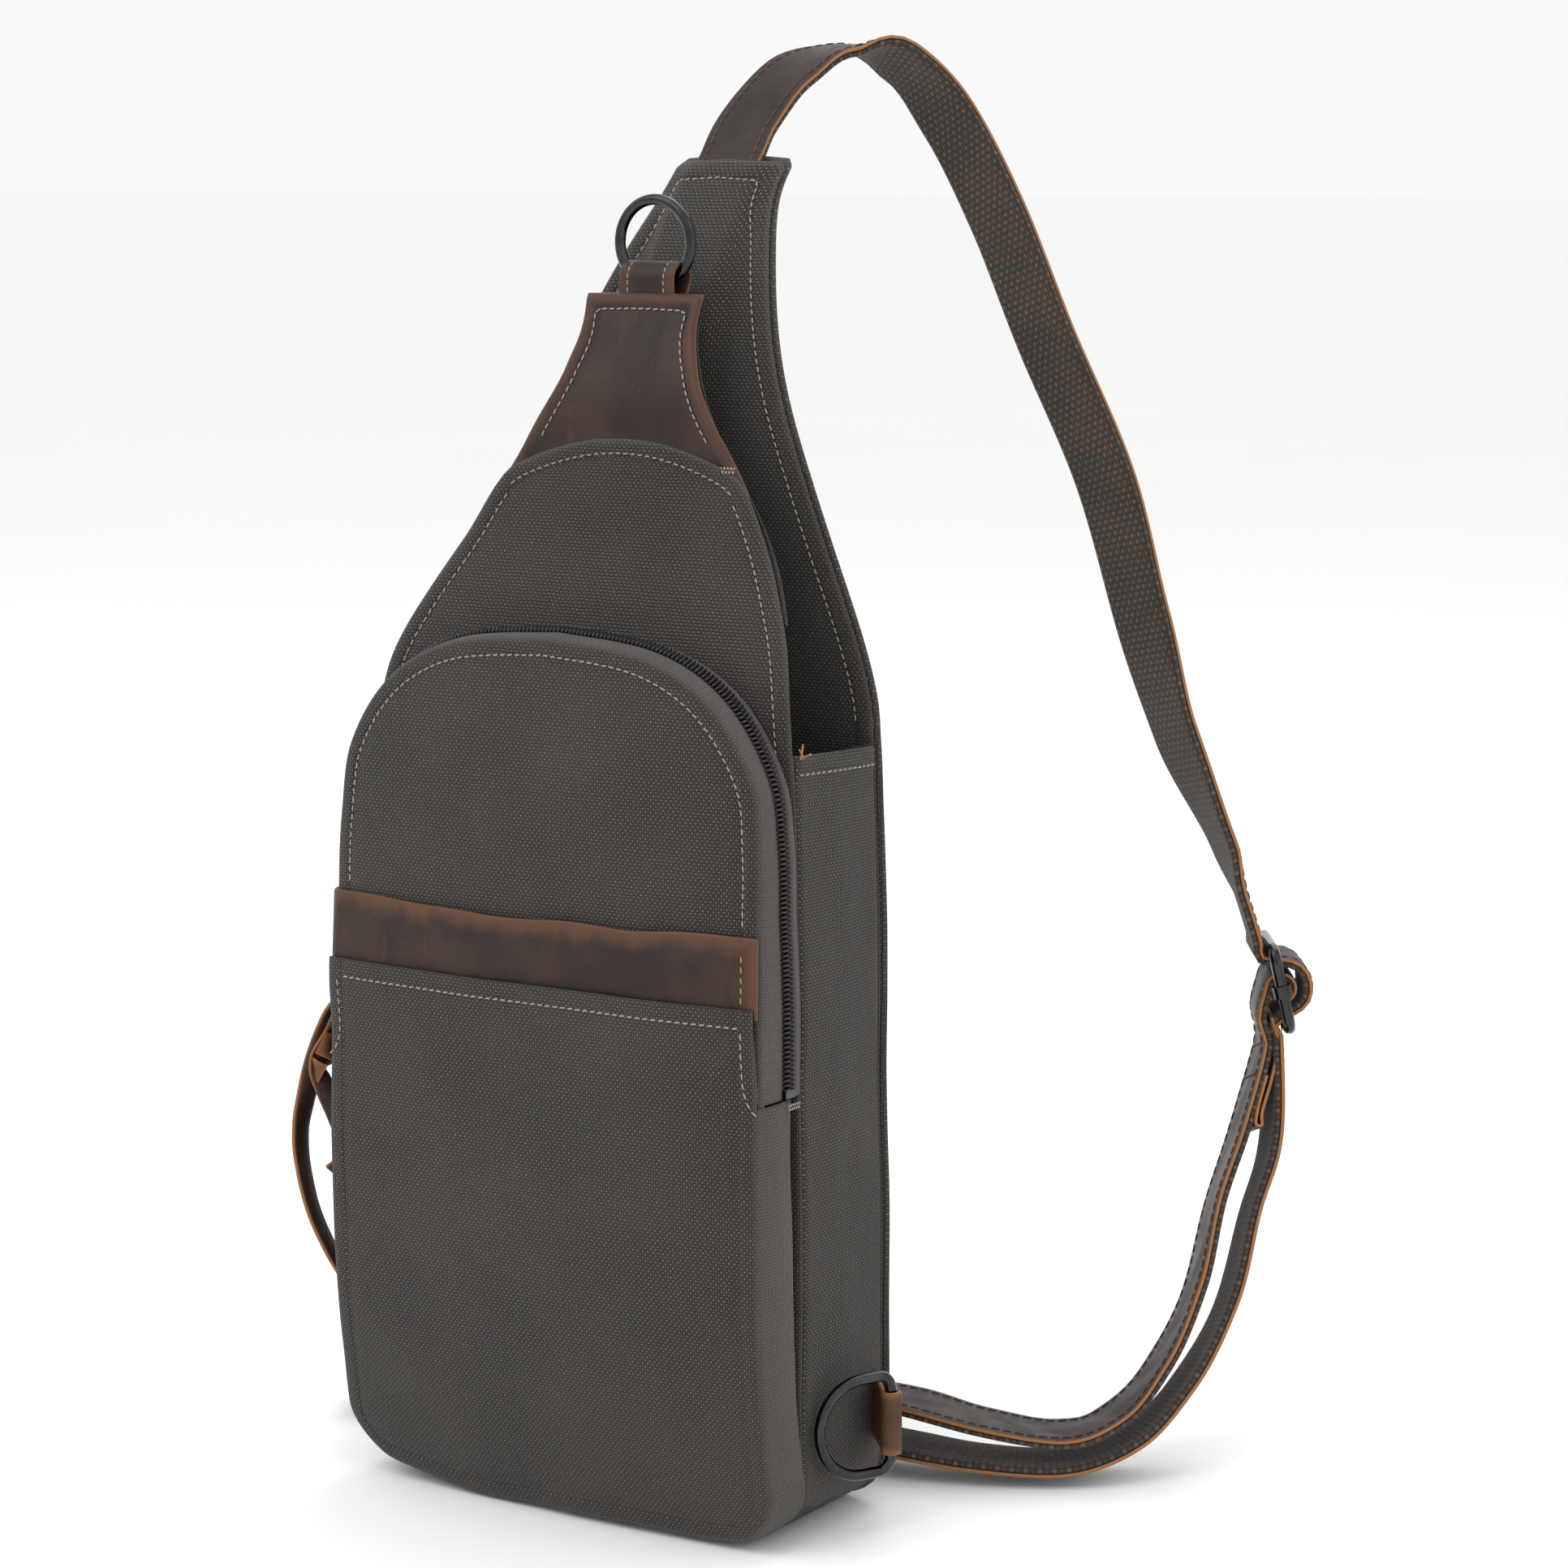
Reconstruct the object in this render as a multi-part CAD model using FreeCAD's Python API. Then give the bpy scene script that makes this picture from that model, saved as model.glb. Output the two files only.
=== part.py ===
import FreeCAD, Part
import math
import os

# Sling bag: a teardrop canvas body with a zipped front pocket, a leather-trimmed slip pocket,
# a front flap with a hanging ring, two side D-rings and a leather-and-webbing strap.
# Millimetres. +X is to the right for someone facing the front, -Y is the front, +Z is up.
# The origin is the middle of the base that the bag rests on.

os.makedirs("parts", exist_ok=True)
V = FreeCAD.Vector

# ---- driving sizes -------------------------------------------------------------------------
BODY_WIDTH = 178.0
BODY_DEPTH = 50.0
TOP_HEIGHT = 459.0
HEM_HEIGHT = 268.0
CORNER_RADIUS = 18.0
SIDE_TAPER = 2.5
TIP_HALF_WIDTH = 22.5
CANVAS = 1.6
BACK_PANEL = 3.0
LINING = 0.6
LEATHER = 1.6
PLAY = 0.3
SLACK = 0.6

LEAN_HEIGHT = 109.0
LEAN_BACK = 45.0

FLAP_DROP = 44.0
FLAP_TOP_HALF_WIDTH = 24.0
FOLD_SHARE = 0.265
PATCH_HEIGHT = 55.0
PATCH_INSET = 1.5

POCKET_DEPTH = 23.0
POCKET_BELLY = 6.0
BELLY_FOOT = 7.0
BELLY_HEAD = 3.0
BELLY_START = 22.0
BELLY_STEPS = [(0.6, 60), (1.0, 115), (0.8, 180), (0.3, 240)]  # share of the belly, height
POCKET_CROWN = 304.0
POCKET_SHOULDER = 215.0
ZIP_END_HEIGHT = 156.0
TAPE = 1.0
COIL_WIDTH = 5.8
COIL_HEIGHT = 2.4
COIL_SPLIT = 1.2

SLIDER_LENGTH = 14.0
SLIDER_PLATE = 1.2
SLIDER_OVERHANG = 1.7
SLIDER_ROOM = 0.5
SLIDER_WEB = 5.0
SLIDER_LIP = 0.9
ARCH_OPENING = 3.2
ARCH_LENGTH = 11.0
ARCH_WIDTH = 2.6
ARCH_WALL = 1.5

THONG_THICKNESS = 1.4
THONG_WIDTH = 8.5
TAIL_WIDTH = 6.8
THONG_PLAY = 0.4
HEAD_LENGTH = 16.0
HEAD_DROP = 15.0
SLOT_LENGTH = 10.0
SLOT_DROP = 11.2

SLIP_HEIGHT = 188.0
BAND_HEIGHT = 24.0

PAD_THICKNESS = 7.0
PAD_INSET = 4.0

WIRE = 3.8
RING_OUTER = 33.0
RING_TAB_WIDTH = 20.0
RING_RISE = 2.4
DRING_PLAY = 3.5
DRING_REACH = 28.0
TAB_WIDTH = 22.0
TAB_HEIGHT = 38.0

STRAP_WIDTH = 26.0
STRAP_LEATHER = 1.5
STRAP_WEBBING = 2.0

FRAME_WIRE = 4.4
FRAME_LENGTH = 34.0
SNAP_DIAMETER = 14.0
SNAP_HEIGHT = 3.0
SNAP_DROP = 43.0

# ---- values that follow from them ----------------------------------------------------------
HALF_WIDTH = BODY_WIDTH / 2
BACK = BODY_DEPTH / 2
FRONT = -BODY_DEPTH / 2
PANEL_FRONT = FRONT - CANVAS
POCKET_FRONT = PANEL_FRONT - POCKET_DEPTH
TIP_SPAN = TOP_HEIGHT - HEM_HEIGHT
FLAP_TOP = TOP_HEIGHT - FLAP_DROP
FLAP_SPAN = FLAP_TOP - HEM_HEIGHT
FLAP_FOLD_HEIGHT = HEM_HEIGHT + FLAP_SPAN * FOLD_SHARE
LEAN_START = TOP_HEIGHT - LEAN_HEIGHT
LEAN_RADIUS = (LEAN_HEIGHT ** 2 + LEAN_BACK ** 2) / (2 * LEAN_BACK)
LEAN_CENTRE = V(0, BACK + LEAN_RADIUS, LEAN_START)
STRAP_THICKNESS = STRAP_LEATHER + STRAP_WEBBING
DRING_OPENING = STRAP_WIDTH + DRING_PLAY
WIRE_RADIUS = WIRE / 2
RING_RADIUS = (RING_OUTER - WIRE) / 2
FAR = 2 * TOP_HEIGHT


# ---- helpers -------------------------------------------------------------------------------
def save(shape, name):
    shape.exportStep("parts/" + name + ".step")


def curve(points, start=None, end=None):
    spline = Part.BSplineCurve()
    if start is None:
        spline.interpolate(Points=points)
    else:
        spline.interpolate(Points=points, InitialTangent=start, FinalTangent=end)
    return spline.toShape()


def unit(vector):
    return vector * (1.0 / vector.Length)


def side_at(height):
    """Half width of the straight part of the sides."""
    share = (height - CORNER_RADIUS) / (HEM_HEIGHT - CORNER_RADIUS)
    return HALF_WIDTH - SIDE_TAPER * share


def mirrored(points):
    return [V(-p.x, p.y, p.z) for p in reversed(points)]


def outline_face(upper, straight_to, inset=0.0):
    """Face in the XZ plane: rounded bottom corners, straight sides, then the points of upper."""
    radius = CORNER_RADIUS - inset
    side = side_at(straight_to) - inset
    low = inset
    corner_x = HALF_WIDTH - CORNER_RADIUS
    bend = radius * math.sqrt(0.5)
    right = V(side, 0, straight_to)
    left = V(-side, 0, straight_to)
    edges = [Part.makeLine(V(-corner_x, 0, low), V(corner_x, 0, low))]
    arc_end = V(HALF_WIDTH - inset, 0, CORNER_RADIUS)
    arc_mid = V(corner_x + bend, 0, CORNER_RADIUS - bend)
    edges.append(Part.Arc(V(corner_x, 0, low), arc_mid, arc_end).toShape())
    edges.append(Part.makeLine(arc_end, right))
    if upper:
        points = [right] + upper
        flank = curve(points, V(0, 0, 1), unit(points[-1] - points[-2]))
        edges.append(flank)
        edges.append(Part.makeLine(points[-1], V(-points[-1].x, 0, points[-1].z)))
        edges.append(flank.mirror(V(0, 0, 0), V(1, 0, 0)))
    else:
        edges.append(Part.makeLine(right, left))
    arc_end = V(-arc_end.x, 0, arc_end.z)
    arc_mid = V(-arc_mid.x, 0, arc_mid.z)
    edges.append(Part.makeLine(left, arc_end))
    edges.append(Part.Arc(arc_end, arc_mid, V(-corner_x, 0, low)).toShape())
    return Part.Face(Part.Wire(Part.__sortEdges__(edges)))


def block(face, near, far):
    """The face pushed out from depth near to depth far."""
    moved = face.copy()
    moved.translate(V(0, near, 0))
    return moved.extrude(V(0, far - near, 0))


def shifted(points, distance):
    """Profile points in the YZ plane moved sideways, + towards the back for a rising profile."""
    moved = []
    last = len(points) - 1
    for index, point in enumerate(points):
        ahead = points[min(index + 1, last)]
        behind = points[max(index - 1, 0)]
        along = unit(ahead - behind)
        if index == 1 and abs(point.y - behind.y) < 0.001:
            along = V(0, 0, 1)
        moved.append(point + V(0, along.z, -along.y) * distance)
    return moved


def rising(points):
    """Edges of a profile: plain where its first stretch is upright, curved above that."""
    if abs(points[1].y - points[0].y) > 0.001:
        return [curve(points)]
    if len(points) == 2:
        return [Part.makeLine(points[0], points[1])]
    bent = curve(points[1:], V(0, 0, 1), unit(points[-1] - points[-2]))
    return [Part.makeLine(points[0], points[1]), bent]


def profile_slab(near, far, half_width=FAR / 2):
    """Solid between two rising profiles of the YZ plane, extruded along X."""
    edges = rising(near) + rising(far)
    edges += [Part.makeLine(near[-1], far[-1]), Part.makeLine(far[0], near[0])]
    face = Part.Face(Part.Wire(Part.__sortEdges__(edges)))
    face.translate(V(-half_width, 0, 0))
    return face.extrude(V(2 * half_width, 0, 0))


def slice_between(low, high, shape):
    cutter = Part.makeBox(FAR, FAR, high - low, V(-FAR / 2, -FAR / 2, low))
    return shape.common(cutter)


def rounded_plate(width, height, radius, thickness):
    """Plate in the XZ plane, centred on the origin, with its thickness along +Y."""
    half = width / 2 - radius
    rise = height / 2 - radius
    bend = radius * math.sqrt(0.5)
    edges = []
    turns = [(1, -1), (1, 1), (-1, 1), (-1, -1)]
    for index, (sx, sz) in enumerate(turns):
        centre = V(sx * half, 0, sz * rise)
        side = centre + V(sx * radius, 0, 0)
        cap = centre + V(0, 0, sz * radius)
        middle = centre + V(sx * bend, 0, sz * bend)
        first, last = (cap, side) if sx * sz < 0 else (side, cap)
        edges.append(Part.Arc(first, middle, last).toShape())
        nx, nz = turns[(index + 1) % 4]
        following = V(nx * half, 0, nz * rise)
        if nx == sx:
            edges.append(Part.makeLine(last, following + V(nx * radius, 0, 0)))
        else:
            edges.append(Part.makeLine(last, following + V(0, 0, nz * radius)))
    return Part.Face(Part.Wire(edges)).extrude(V(0, thickness, 0))


def placed(shape, origin, x_axis, y_axis, z_axis):
    """Move a shape from the world axes to the given axes at origin."""
    matrix = FreeCAD.Matrix(
        x_axis.x, y_axis.x, z_axis.x, origin.x,
        x_axis.y, y_axis.y, z_axis.y, origin.y,
        x_axis.z, y_axis.z, z_axis.z, origin.z,
        0, 0, 0, 1)
    moved = shape.copy()
    moved.Placement = FreeCAD.Placement(matrix)
    return moved


def solid_of(shape):
    """The single solid inside a boolean's compound."""
    return shape.Solids[0] if len(shape.Solids) == 1 else shape


# ---- outlines ------------------------------------------------------------------------------
def flank(steps, foot_x, foot_z, tip_x, span):
    """Points from (share of the way in from the tip, share of the rise) pairs."""
    return [V(tip_x + (foot_x - tip_x) * inward, 0, foot_z + span * rise) for inward, rise in steps]


def teardrop_points():
    """Right side of the back panel above its straight sides, up to the tip."""
    steps = [(0.895, 0.11), (0.609, 0.377), (0.353, 0.602), (0.135, 0.817), (0, 1)]
    return flank(steps, HALF_WIDTH, HEM_HEIGHT, TIP_HALF_WIDTH, TIP_SPAN)


def flap_points():
    """Right side of the front panel above its straight sides, up to the top of the patch."""
    steps = [(0.846, 0.218), (0.523, 0.49), (0.123, 0.762), (-0.008, 0.932), (0, 1)]
    return flank(steps, HALF_WIDTH, HEM_HEIGHT, FLAP_TOP_HALF_WIDTH, FLAP_SPAN)


def arch_points():
    """Right half of the pocket's arch above its shoulder, ending at the crown."""
    steps = [(0.933, 0.528), (0.742, 0.798), (0.438, 0.955), (0, 1)]
    return flank(steps, HALF_WIDTH, POCKET_SHOULDER, 0, POCKET_CROWN - POCKET_SHOULDER)


def arch_face(grow=0.0, foot=None):
    """Pocket outline, grown outwards by grow; with a foot height the lower part is left off."""
    right = V(side_at(POCKET_SHOULDER), 0, POCKET_SHOULDER)
    half = [right] + arch_points()
    points = half + mirrored(half)[1:]
    grown = []
    last = len(points) - 1
    for index, point in enumerate(points):
        along = unit(points[min(index + 1, last)] - points[max(index - 1, 0)])
        if index in (0, last):
            along = V(0, 0, 1 if index == 0 else -1)
        grown.append(point + V(along.z, 0, -along.x) * grow)
    top = curve(grown, V(0, 0, 1), V(0, 0, -1))
    if foot is None:
        radius = CORNER_RADIUS + grow
        corner_x = HALF_WIDTH - CORNER_RADIUS
        bend = radius * math.sqrt(0.5)
        arc_end = V(HALF_WIDTH + grow, 0, CORNER_RADIUS)
        arc_mid = V(corner_x + bend, 0, CORNER_RADIUS - bend)
        arc_low = V(corner_x, 0, -grow)
        flip = [V(-p.x, 0, p.z) for p in (arc_low, arc_mid, arc_end)]
        edges = [
            top,
            Part.makeLine(grown[-1], flip[2]),
            Part.Arc(flip[2], flip[1], flip[0]).toShape(),
            Part.makeLine(flip[0], arc_low),
            Part.Arc(arc_low, arc_mid, arc_end).toShape(),
            Part.makeLine(arc_end, grown[0]),
        ]
    else:
        low_right = V(side_at(foot) + grow, 0, foot)
        low_left = V(-low_right.x, 0, foot)
        edges = [
            top,
            Part.makeLine(grown[-1], low_left),
            Part.makeLine(low_left, low_right),
            Part.makeLine(low_right, grown[0]),
        ]
    return Part.Face(Part.Wire(edges))


# ---- profiles of the YZ plane --------------------------------------------------------------
def lean_slab(front_offset, back_offset):
    """Upright sheet that leans back round the arc above LEAN_START.

    Offsets run towards the back from the front face of the back panel."""
    outer = LEAN_RADIUS - front_offset
    inner = LEAN_RADIUS - back_offset
    sweep = math.asin(LEAN_HEIGHT / LEAN_RADIUS) * 1.15
    ends = []
    for radius in (outer, inner):
        start = V(0, LEAN_CENTRE.y - radius, LEAN_START)
        middle = LEAN_CENTRE + V(0, -radius * math.cos(sweep / 2), radius * math.sin(sweep / 2))
        end = LEAN_CENTRE + V(0, -radius * math.cos(sweep), radius * math.sin(sweep))
        ends.append((V(0, start.y, 0), start, middle, end))
    near, far = ends
    edges = [
        Part.makeLine(near[0], near[1]),
        Part.Arc(near[1], near[2], near[3]).toShape(),
        Part.makeLine(near[3], far[3]),
        Part.Arc(far[3], far[2], far[1]).toShape(),
        Part.makeLine(far[1], far[0]),
        Part.makeLine(far[0], near[0]),
    ]
    face = Part.Face(Part.Wire(edges))
    face.translate(V(-FAR / 2, 0, 0))
    return face.extrude(V(FAR, 0, 0))


def flap_profile():
    """Front face of the front panel, from the base to the top of the patch.

    Each step is a share of the rise above the hem and the distance drawn back there."""
    steps = [(0.143, 3), (0.293, 12), (0.429, 21), (0.592, 26), (0.762, 29), (0.912, 36), (1.02, 42)]
    points = [V(0, PANEL_FRONT, -1), V(0, PANEL_FRONT, HEM_HEIGHT - 1)]
    return points + [V(0, PANEL_FRONT + back, HEM_HEIGHT + FLAP_SPAN * rise) for rise, back in steps]


def belly_profile():
    """Front face of the pocket panel, bulging in the middle."""
    points = [V(0, POCKET_FRONT + BELLY_FOOT, -1), V(0, POCKET_FRONT + 1, BELLY_START)]
    for share, height in BELLY_STEPS:
        points.append(V(0, POCKET_FRONT - share * POCKET_BELLY, height))
    return points + [V(0, POCKET_FRONT + BELLY_HEAD, POCKET_CROWN + 4)]


# ---- body ----------------------------------------------------------------------------------
def make_body_shell():
    teardrop = outline_face(teardrop_points(), 240)
    tall = block(teardrop, -FAR / 4, FAR / 4)
    save(solid_of(tall.common(lean_slab(0, BACK_PANEL))), "back_panel")

    outer = outline_face(None, HEM_HEIGHT)
    inner = outline_face(None, HEM_HEIGHT, CANVAS)
    gusset = block(outer, FRONT, BACK).cut(block(inner, FRONT - 1, BACK + 1))
    save(solid_of(gusset), "gusset")

    face = flap_profile()
    panel = block(outline_face(flap_points(), 240), -FAR / 4, FAR / 4)
    panel = panel.common(profile_slab(face, shifted(face, CANVAS)))
    save(solid_of(slice_between(-1, FLAP_FOLD_HEIGHT - PLAY, panel)), "front_panel")

    gap = CANVAS + PLAY
    wide = outline_face(None, HEM_HEIGHT - 2, gap)
    narrow = outline_face(None, HEM_HEIGHT - 2, gap + LINING)
    tub = block(wide, FRONT + PLAY, BACK - PLAY)
    hollow = block(narrow, FRONT + PLAY + LINING, BACK - PLAY - LINING)
    save(solid_of(tub.cut(hollow)), "lining")


def make_sleeve():
    """Front layer of the tip, which grips the end of the strap."""
    teardrop = block(outline_face(teardrop_points(), 240), -FAR / 4, FAR / 4)
    gap = STRAP_THICKNESS + 2 * PLAY
    layer = teardrop.common(lean_slab(-gap - CANVAS, -gap))
    save(solid_of(slice_between(TOP_HEIGHT - 58, TOP_HEIGHT + 1, layer)), "strap_sleeve")


def make_pads():
    width = BODY_WIDTH - 2 * PAD_INSET
    start = BACK + BACK_PANEL
    for name, low, high in (("upper_back_pad", 96, 232), ("lower_back_pad", 10, 72)):
        pad = rounded_plate(width, high - low, 20, PAD_THICKNESS)
        pad = pad.makeFillet(PAD_THICKNESS * 0.45, [e for e in pad.Edges if is_rear(e)])
        pad.translate(V(0, start, (low + high) / 2))
        save(pad, name)


def is_rear(edge):
    box = edge.BoundBox
    return abs(box.YMin - PAD_THICKNESS) < 0.01 and abs(box.YMax - PAD_THICKNESS) < 0.01


# ---- front pocket --------------------------------------------------------------------------
def make_pocket():
    face = belly_profile()
    rear = shifted(face, CANVAS)
    panel = block(arch_face(), POCKET_FRONT - 30, POCKET_FRONT + 30).common(profile_slab(face, rear))
    save(solid_of(slice_between(0, FAR, panel)), "pocket_panel")

    behind = profile_slab(rear, [V(0, PANEL_FRONT, rear[0].z), V(0, PANEL_FRONT, rear[-1].z)])
    ring = block(arch_face(), POCKET_FRONT - 30, PANEL_FRONT)
    ring = ring.cut(block(arch_face(-CANVAS), POCKET_FRONT - 31, PANEL_FRONT + 1))
    side = slice_between(0, ZIP_END_HEIGHT, ring.common(behind))
    save(solid_of(side), "pocket_side")

    band = block(arch_face(0, ZIP_END_HEIGHT), POCKET_FRONT - 30, PANEL_FRONT)
    hole = block(arch_face(-TAPE, ZIP_END_HEIGHT - 5), POCKET_FRONT - 31, PANEL_FRONT + 1)
    band = band.cut(hole)
    middle = zip_line()
    front_edge = middle - COIL_SPLIT / 2
    rear_edge = middle + COIL_SPLIT / 2
    front = band.common(behind).common(depth_range(POCKET_FRONT - 30, front_edge))
    save(solid_of(front), "zip_tape_front")
    rear_tape = band.common(behind).common(depth_range(rear_edge, PANEL_FRONT))
    save(solid_of(rear_tape), "zip_tape_rear")

    low = ZIP_END_HEIGHT + 3
    coil = block(arch_face(COIL_HEIGHT, low), middle - COIL_WIDTH / 2, middle + COIL_WIDTH / 2)
    coil = coil.cut(block(arch_face(0, low - 5), middle - COIL_WIDTH, middle + COIL_WIDTH))
    coil = coil.cut(depth_range(front_edge, rear_edge))
    save(coil, "zip_teeth")


def zip_line():
    """Depth of the middle of the zip."""
    return PANEL_FRONT - POCKET_DEPTH * 0.36


def depth_range(near, far):
    return Part.makeBox(FAR, far - near, FAR, V(-FAR / 2, near, -FAR / 4))


def make_slip_pocket():
    """Canvas slip pocket on the front with a leather band along its mouth."""
    face = belly_profile()
    near = shifted(face, -CANVAS)
    outline = block(arch_face(-0.6), POCKET_FRONT - 40, POCKET_FRONT + 30)
    layer = outline.common(profile_slab(near, face))
    save(solid_of(slice_between(2, SLIP_HEIGHT, layer)), "slip_pocket")
    near = shifted(face, -LEATHER)
    layer = outline.common(profile_slab(near, face))
    save(solid_of(slice_between(SLIP_HEIGHT, SLIP_HEIGHT + BAND_HEIGHT, layer)), "leather_band")


# ---- zip slider and its pull ---------------------------------------------------------------
def slider_axes():
    """Origin on the left tape's outer face at the parked height, +X of the slider outwards."""
    height = ZIP_END_HEIGHT + 20
    low = V(-side_at(height - 10), 0, height - 10)
    high = V(-side_at(height + 10), 0, height + 10)
    up = unit(high - low)
    out = V(-up.z, 0, up.x)
    return V(-side_at(height), zip_line(), height), out, up


def make_zip_slider():
    """Two plates joined by a web, lips at both sides and an arch for the pull on the outer plate."""
    origin, out, up = slider_axes()
    across = V(0, 1, 0)
    width = COIL_WIDTH + 2 * SLIDER_OVERHANG
    half_length = SLIDER_LENGTH / 2
    top = COIL_HEIGHT + SLIDER_ROOM
    under = -TAPE - SLIDER_ROOM
    web_width = COIL_SPLIT - 2 * PLAY
    outer = Part.makeBox(SLIDER_PLATE, width, SLIDER_LENGTH, V(top, -width / 2, -half_length))
    inner = Part.makeBox(SLIDER_PLATE, width, SLIDER_LENGTH, V(under - SLIDER_PLATE, -width / 2, -half_length))
    web = Part.makeBox(top - under, web_width, SLIDER_WEB, V(under, -web_width / 2, -half_length))
    body = outer.fuse([inner, web])
    for side in (-1, 1):
        edge = side * (width - SLIDER_LIP) / 2 - SLIDER_LIP / 2
        lip = Part.makeBox(top - SLIDER_ROOM, SLIDER_LIP, SLIDER_LENGTH, V(SLIDER_ROOM, edge, -half_length))
        body = body.fuse(lip)
    face = top + SLIDER_PLATE
    rise = ARCH_OPENING + SLIDER_PLATE
    foot = ARCH_LENGTH / 2 - ARCH_WALL
    arch = Part.makeBox(rise, ARCH_WIDTH, ARCH_LENGTH, V(face, -ARCH_WIDTH / 2, -ARCH_LENGTH / 2))
    eye = Part.makeBox(ARCH_OPENING, 2 * ARCH_WIDTH, 2 * foot, V(face, -ARCH_WIDTH, -foot))
    body = body.fuse(arch.cut(eye)).removeSplitter()
    save(placed(body, origin, out, across * -1, up), "zip_slider")


def pull_pivot():
    """Middle of the strip that passes under the slider's arch."""
    origin, out, up = slider_axes()
    return origin + out * (COIL_HEIGHT + SLIDER_ROOM + SLIDER_PLATE + ARCH_OPENING / 2)


def ribbon(frames, near, far, width):
    """Solid through rectangles, flat between them; each frame is (point, across, outward)."""
    rings = []
    for point, across, outward in frames:
        left = point - across * (width / 2)
        right = point + across * (width / 2)
        ring = [left + outward * near, right + outward * near]
        rings.append(ring + [right + outward * far, left + outward * far])
    faces = [Part.Face(Part.makePolygon(ring + ring[:1])) for ring in (rings[0], rings[-1])]
    for first, second in zip(rings, rings[1:]):
        for corner in range(4):
            following = (corner + 1) % 4
            low = Part.makeLine(first[corner], first[following])
            high = Part.makeLine(second[corner], second[following])
            faces.append(Part.makeRuledSurface(low, high))
    shell = Part.Shell(faces)
    shell.sewShape()
    solid = Part.Solid(shell)
    if solid.Volume < 0:
        solid.reverse()
    return solid


def flat_frames(points, across):
    """Frames along a route whose width always points along across."""
    frames = []
    last = len(points) - 1
    for index, point in enumerate(points):
        along = unit(points[min(index + 1, last)] - points[max(index - 1, 0)])
        frames.append((point, across, unit(along.cross(across))))
    return frames


def make_zip_pull():
    """Leather thong looped through the slider, its long leg curving out and back to the bag."""
    pivot = pull_pivot()
    across = V(0, 1, 0)
    thick = THONG_THICKNESS
    width = THONG_WIDTH
    slot = ARCH_WIDTH + 2 * THONG_PLAY
    head = Part.makeBox(thick, width, HEAD_LENGTH, V(-thick / 2, -width / 2, -HEAD_DROP))
    head = head.cut(Part.makeBox(thick * 2, slot, SLOT_LENGTH, V(-thick, -slot / 2, -SLOT_DROP)))
    head = placed(head, pivot, V(1, 0, 0), across, V(0, 0, 1))
    steps = [(0, -HEAD_DROP), (-4, -26), (-10, -42), (-12, -58), (-8, -76), (-1, -92)]
    points = [pivot + V(x, 0, z) for x, z in steps]
    leg = ribbon(flat_frames(points, across), -thick / 2, thick / 2, width)
    save(head.fuse(leg).removeSplitter(), "zip_pull")
    steps = [(-2.2, -12), (-6, -24), (-13.6, -40), (-15.6, -52)]
    points = [pivot + V(x, 0, z) for x, z in steps]
    tail = ribbon(flat_frames(points, across), -thick / 2, thick / 2, TAIL_WIDTH)
    save(tail, "zip_pull_tail")


def make_zip_stops():
    """Small crimped bars that end the coil at each side."""
    bars = []
    for side in (-1, 1):
        at = V(side * (side_at(ZIP_END_HEIGHT) + 0.1), zip_line(), ZIP_END_HEIGHT + 1.4)
        size = V(COIL_HEIGHT, COIL_WIDTH, 2.6)
        x_low = at.x if side > 0 else at.x - size.x
        bars.append(Part.makeBox(size.x, size.y, size.z, V(x_low, at.y - size.y / 2, at.z - size.z / 2)))
    save(Part.makeCompound(bars), "zip_stops")


# ---- flap ----------------------------------------------------------------------------------
def make_flap():
    face = flap_profile()
    rear = shifted(face, CANVAS)
    lined = shifted(face, CANVAS + LINING)
    proud = shifted(face, -LEATHER)
    outline = block(outline_face(flap_points(), 240), -FAR / 4, FAR / 4)
    fold = FLAP_FOLD_HEIGHT
    panel = outline.common(profile_slab(face, rear))
    save(solid_of(slice_between(fold, FLAP_TOP - PATCH_INSET, panel)), "flap_panel")
    facing = outline.common(profile_slab(rear, lined))
    save(solid_of(slice_between(fold + 2, FLAP_TOP - PATCH_INSET, facing)), "flap_facing")
    patch = outline.common(profile_slab(proud, face))
    save(solid_of(slice_between(FLAP_TOP - PATCH_HEIGHT, FLAP_TOP, patch)), "leather_patch")


def ring_pivot():
    """Axis of the hanging ring inside its leather tab."""
    top = flap_profile()[-1]
    return V(0, top.y + CANVAS + LINING + 3.4, FLAP_TOP + 5)


def make_ring_tab():
    """Leather loop behind the top of the flap that holds the ring."""
    pivot = ring_pivot()
    inner = RING_RISE + WIRE_RADIUS + PLAY
    outer = inner + LEATHER
    half = RING_TAB_WIDTH / 2
    tube = Part.makeCylinder(outer, RING_TAB_WIDTH, pivot - V(half, 0, 0), V(1, 0, 0))
    bore = Part.makeCylinder(inner, RING_TAB_WIDTH + 2, pivot - V(half + 1, 0, 0), V(1, 0, 0))
    face = flap_profile()
    near = shifted(face, CANVAS + LINING)
    far = shifted(face, CANVAS + LINING + 2 * LEATHER)
    plate = profile_slab(near, far, half)
    plate = slice_between(FLAP_TOP - 22, FLAP_TOP, plate)
    cover = block(outline_face(flap_points(), 240), -FAR / 4, FAR / 4)
    flap_body = cover.common(profile_slab(face, near))
    tab = tube.fuse(plate).cut(bore).cut(flap_body)
    save(solid_of(tab.removeSplitter()), "ring_tab")


def make_top_ring():
    pivot = ring_pivot()
    centre = pivot + V(0, 0, RING_RADIUS - RING_RISE)
    save(Part.makeTorus(RING_RADIUS, WIRE_RADIUS, centre, V(0, 1, 0)), "top_ring")


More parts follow.
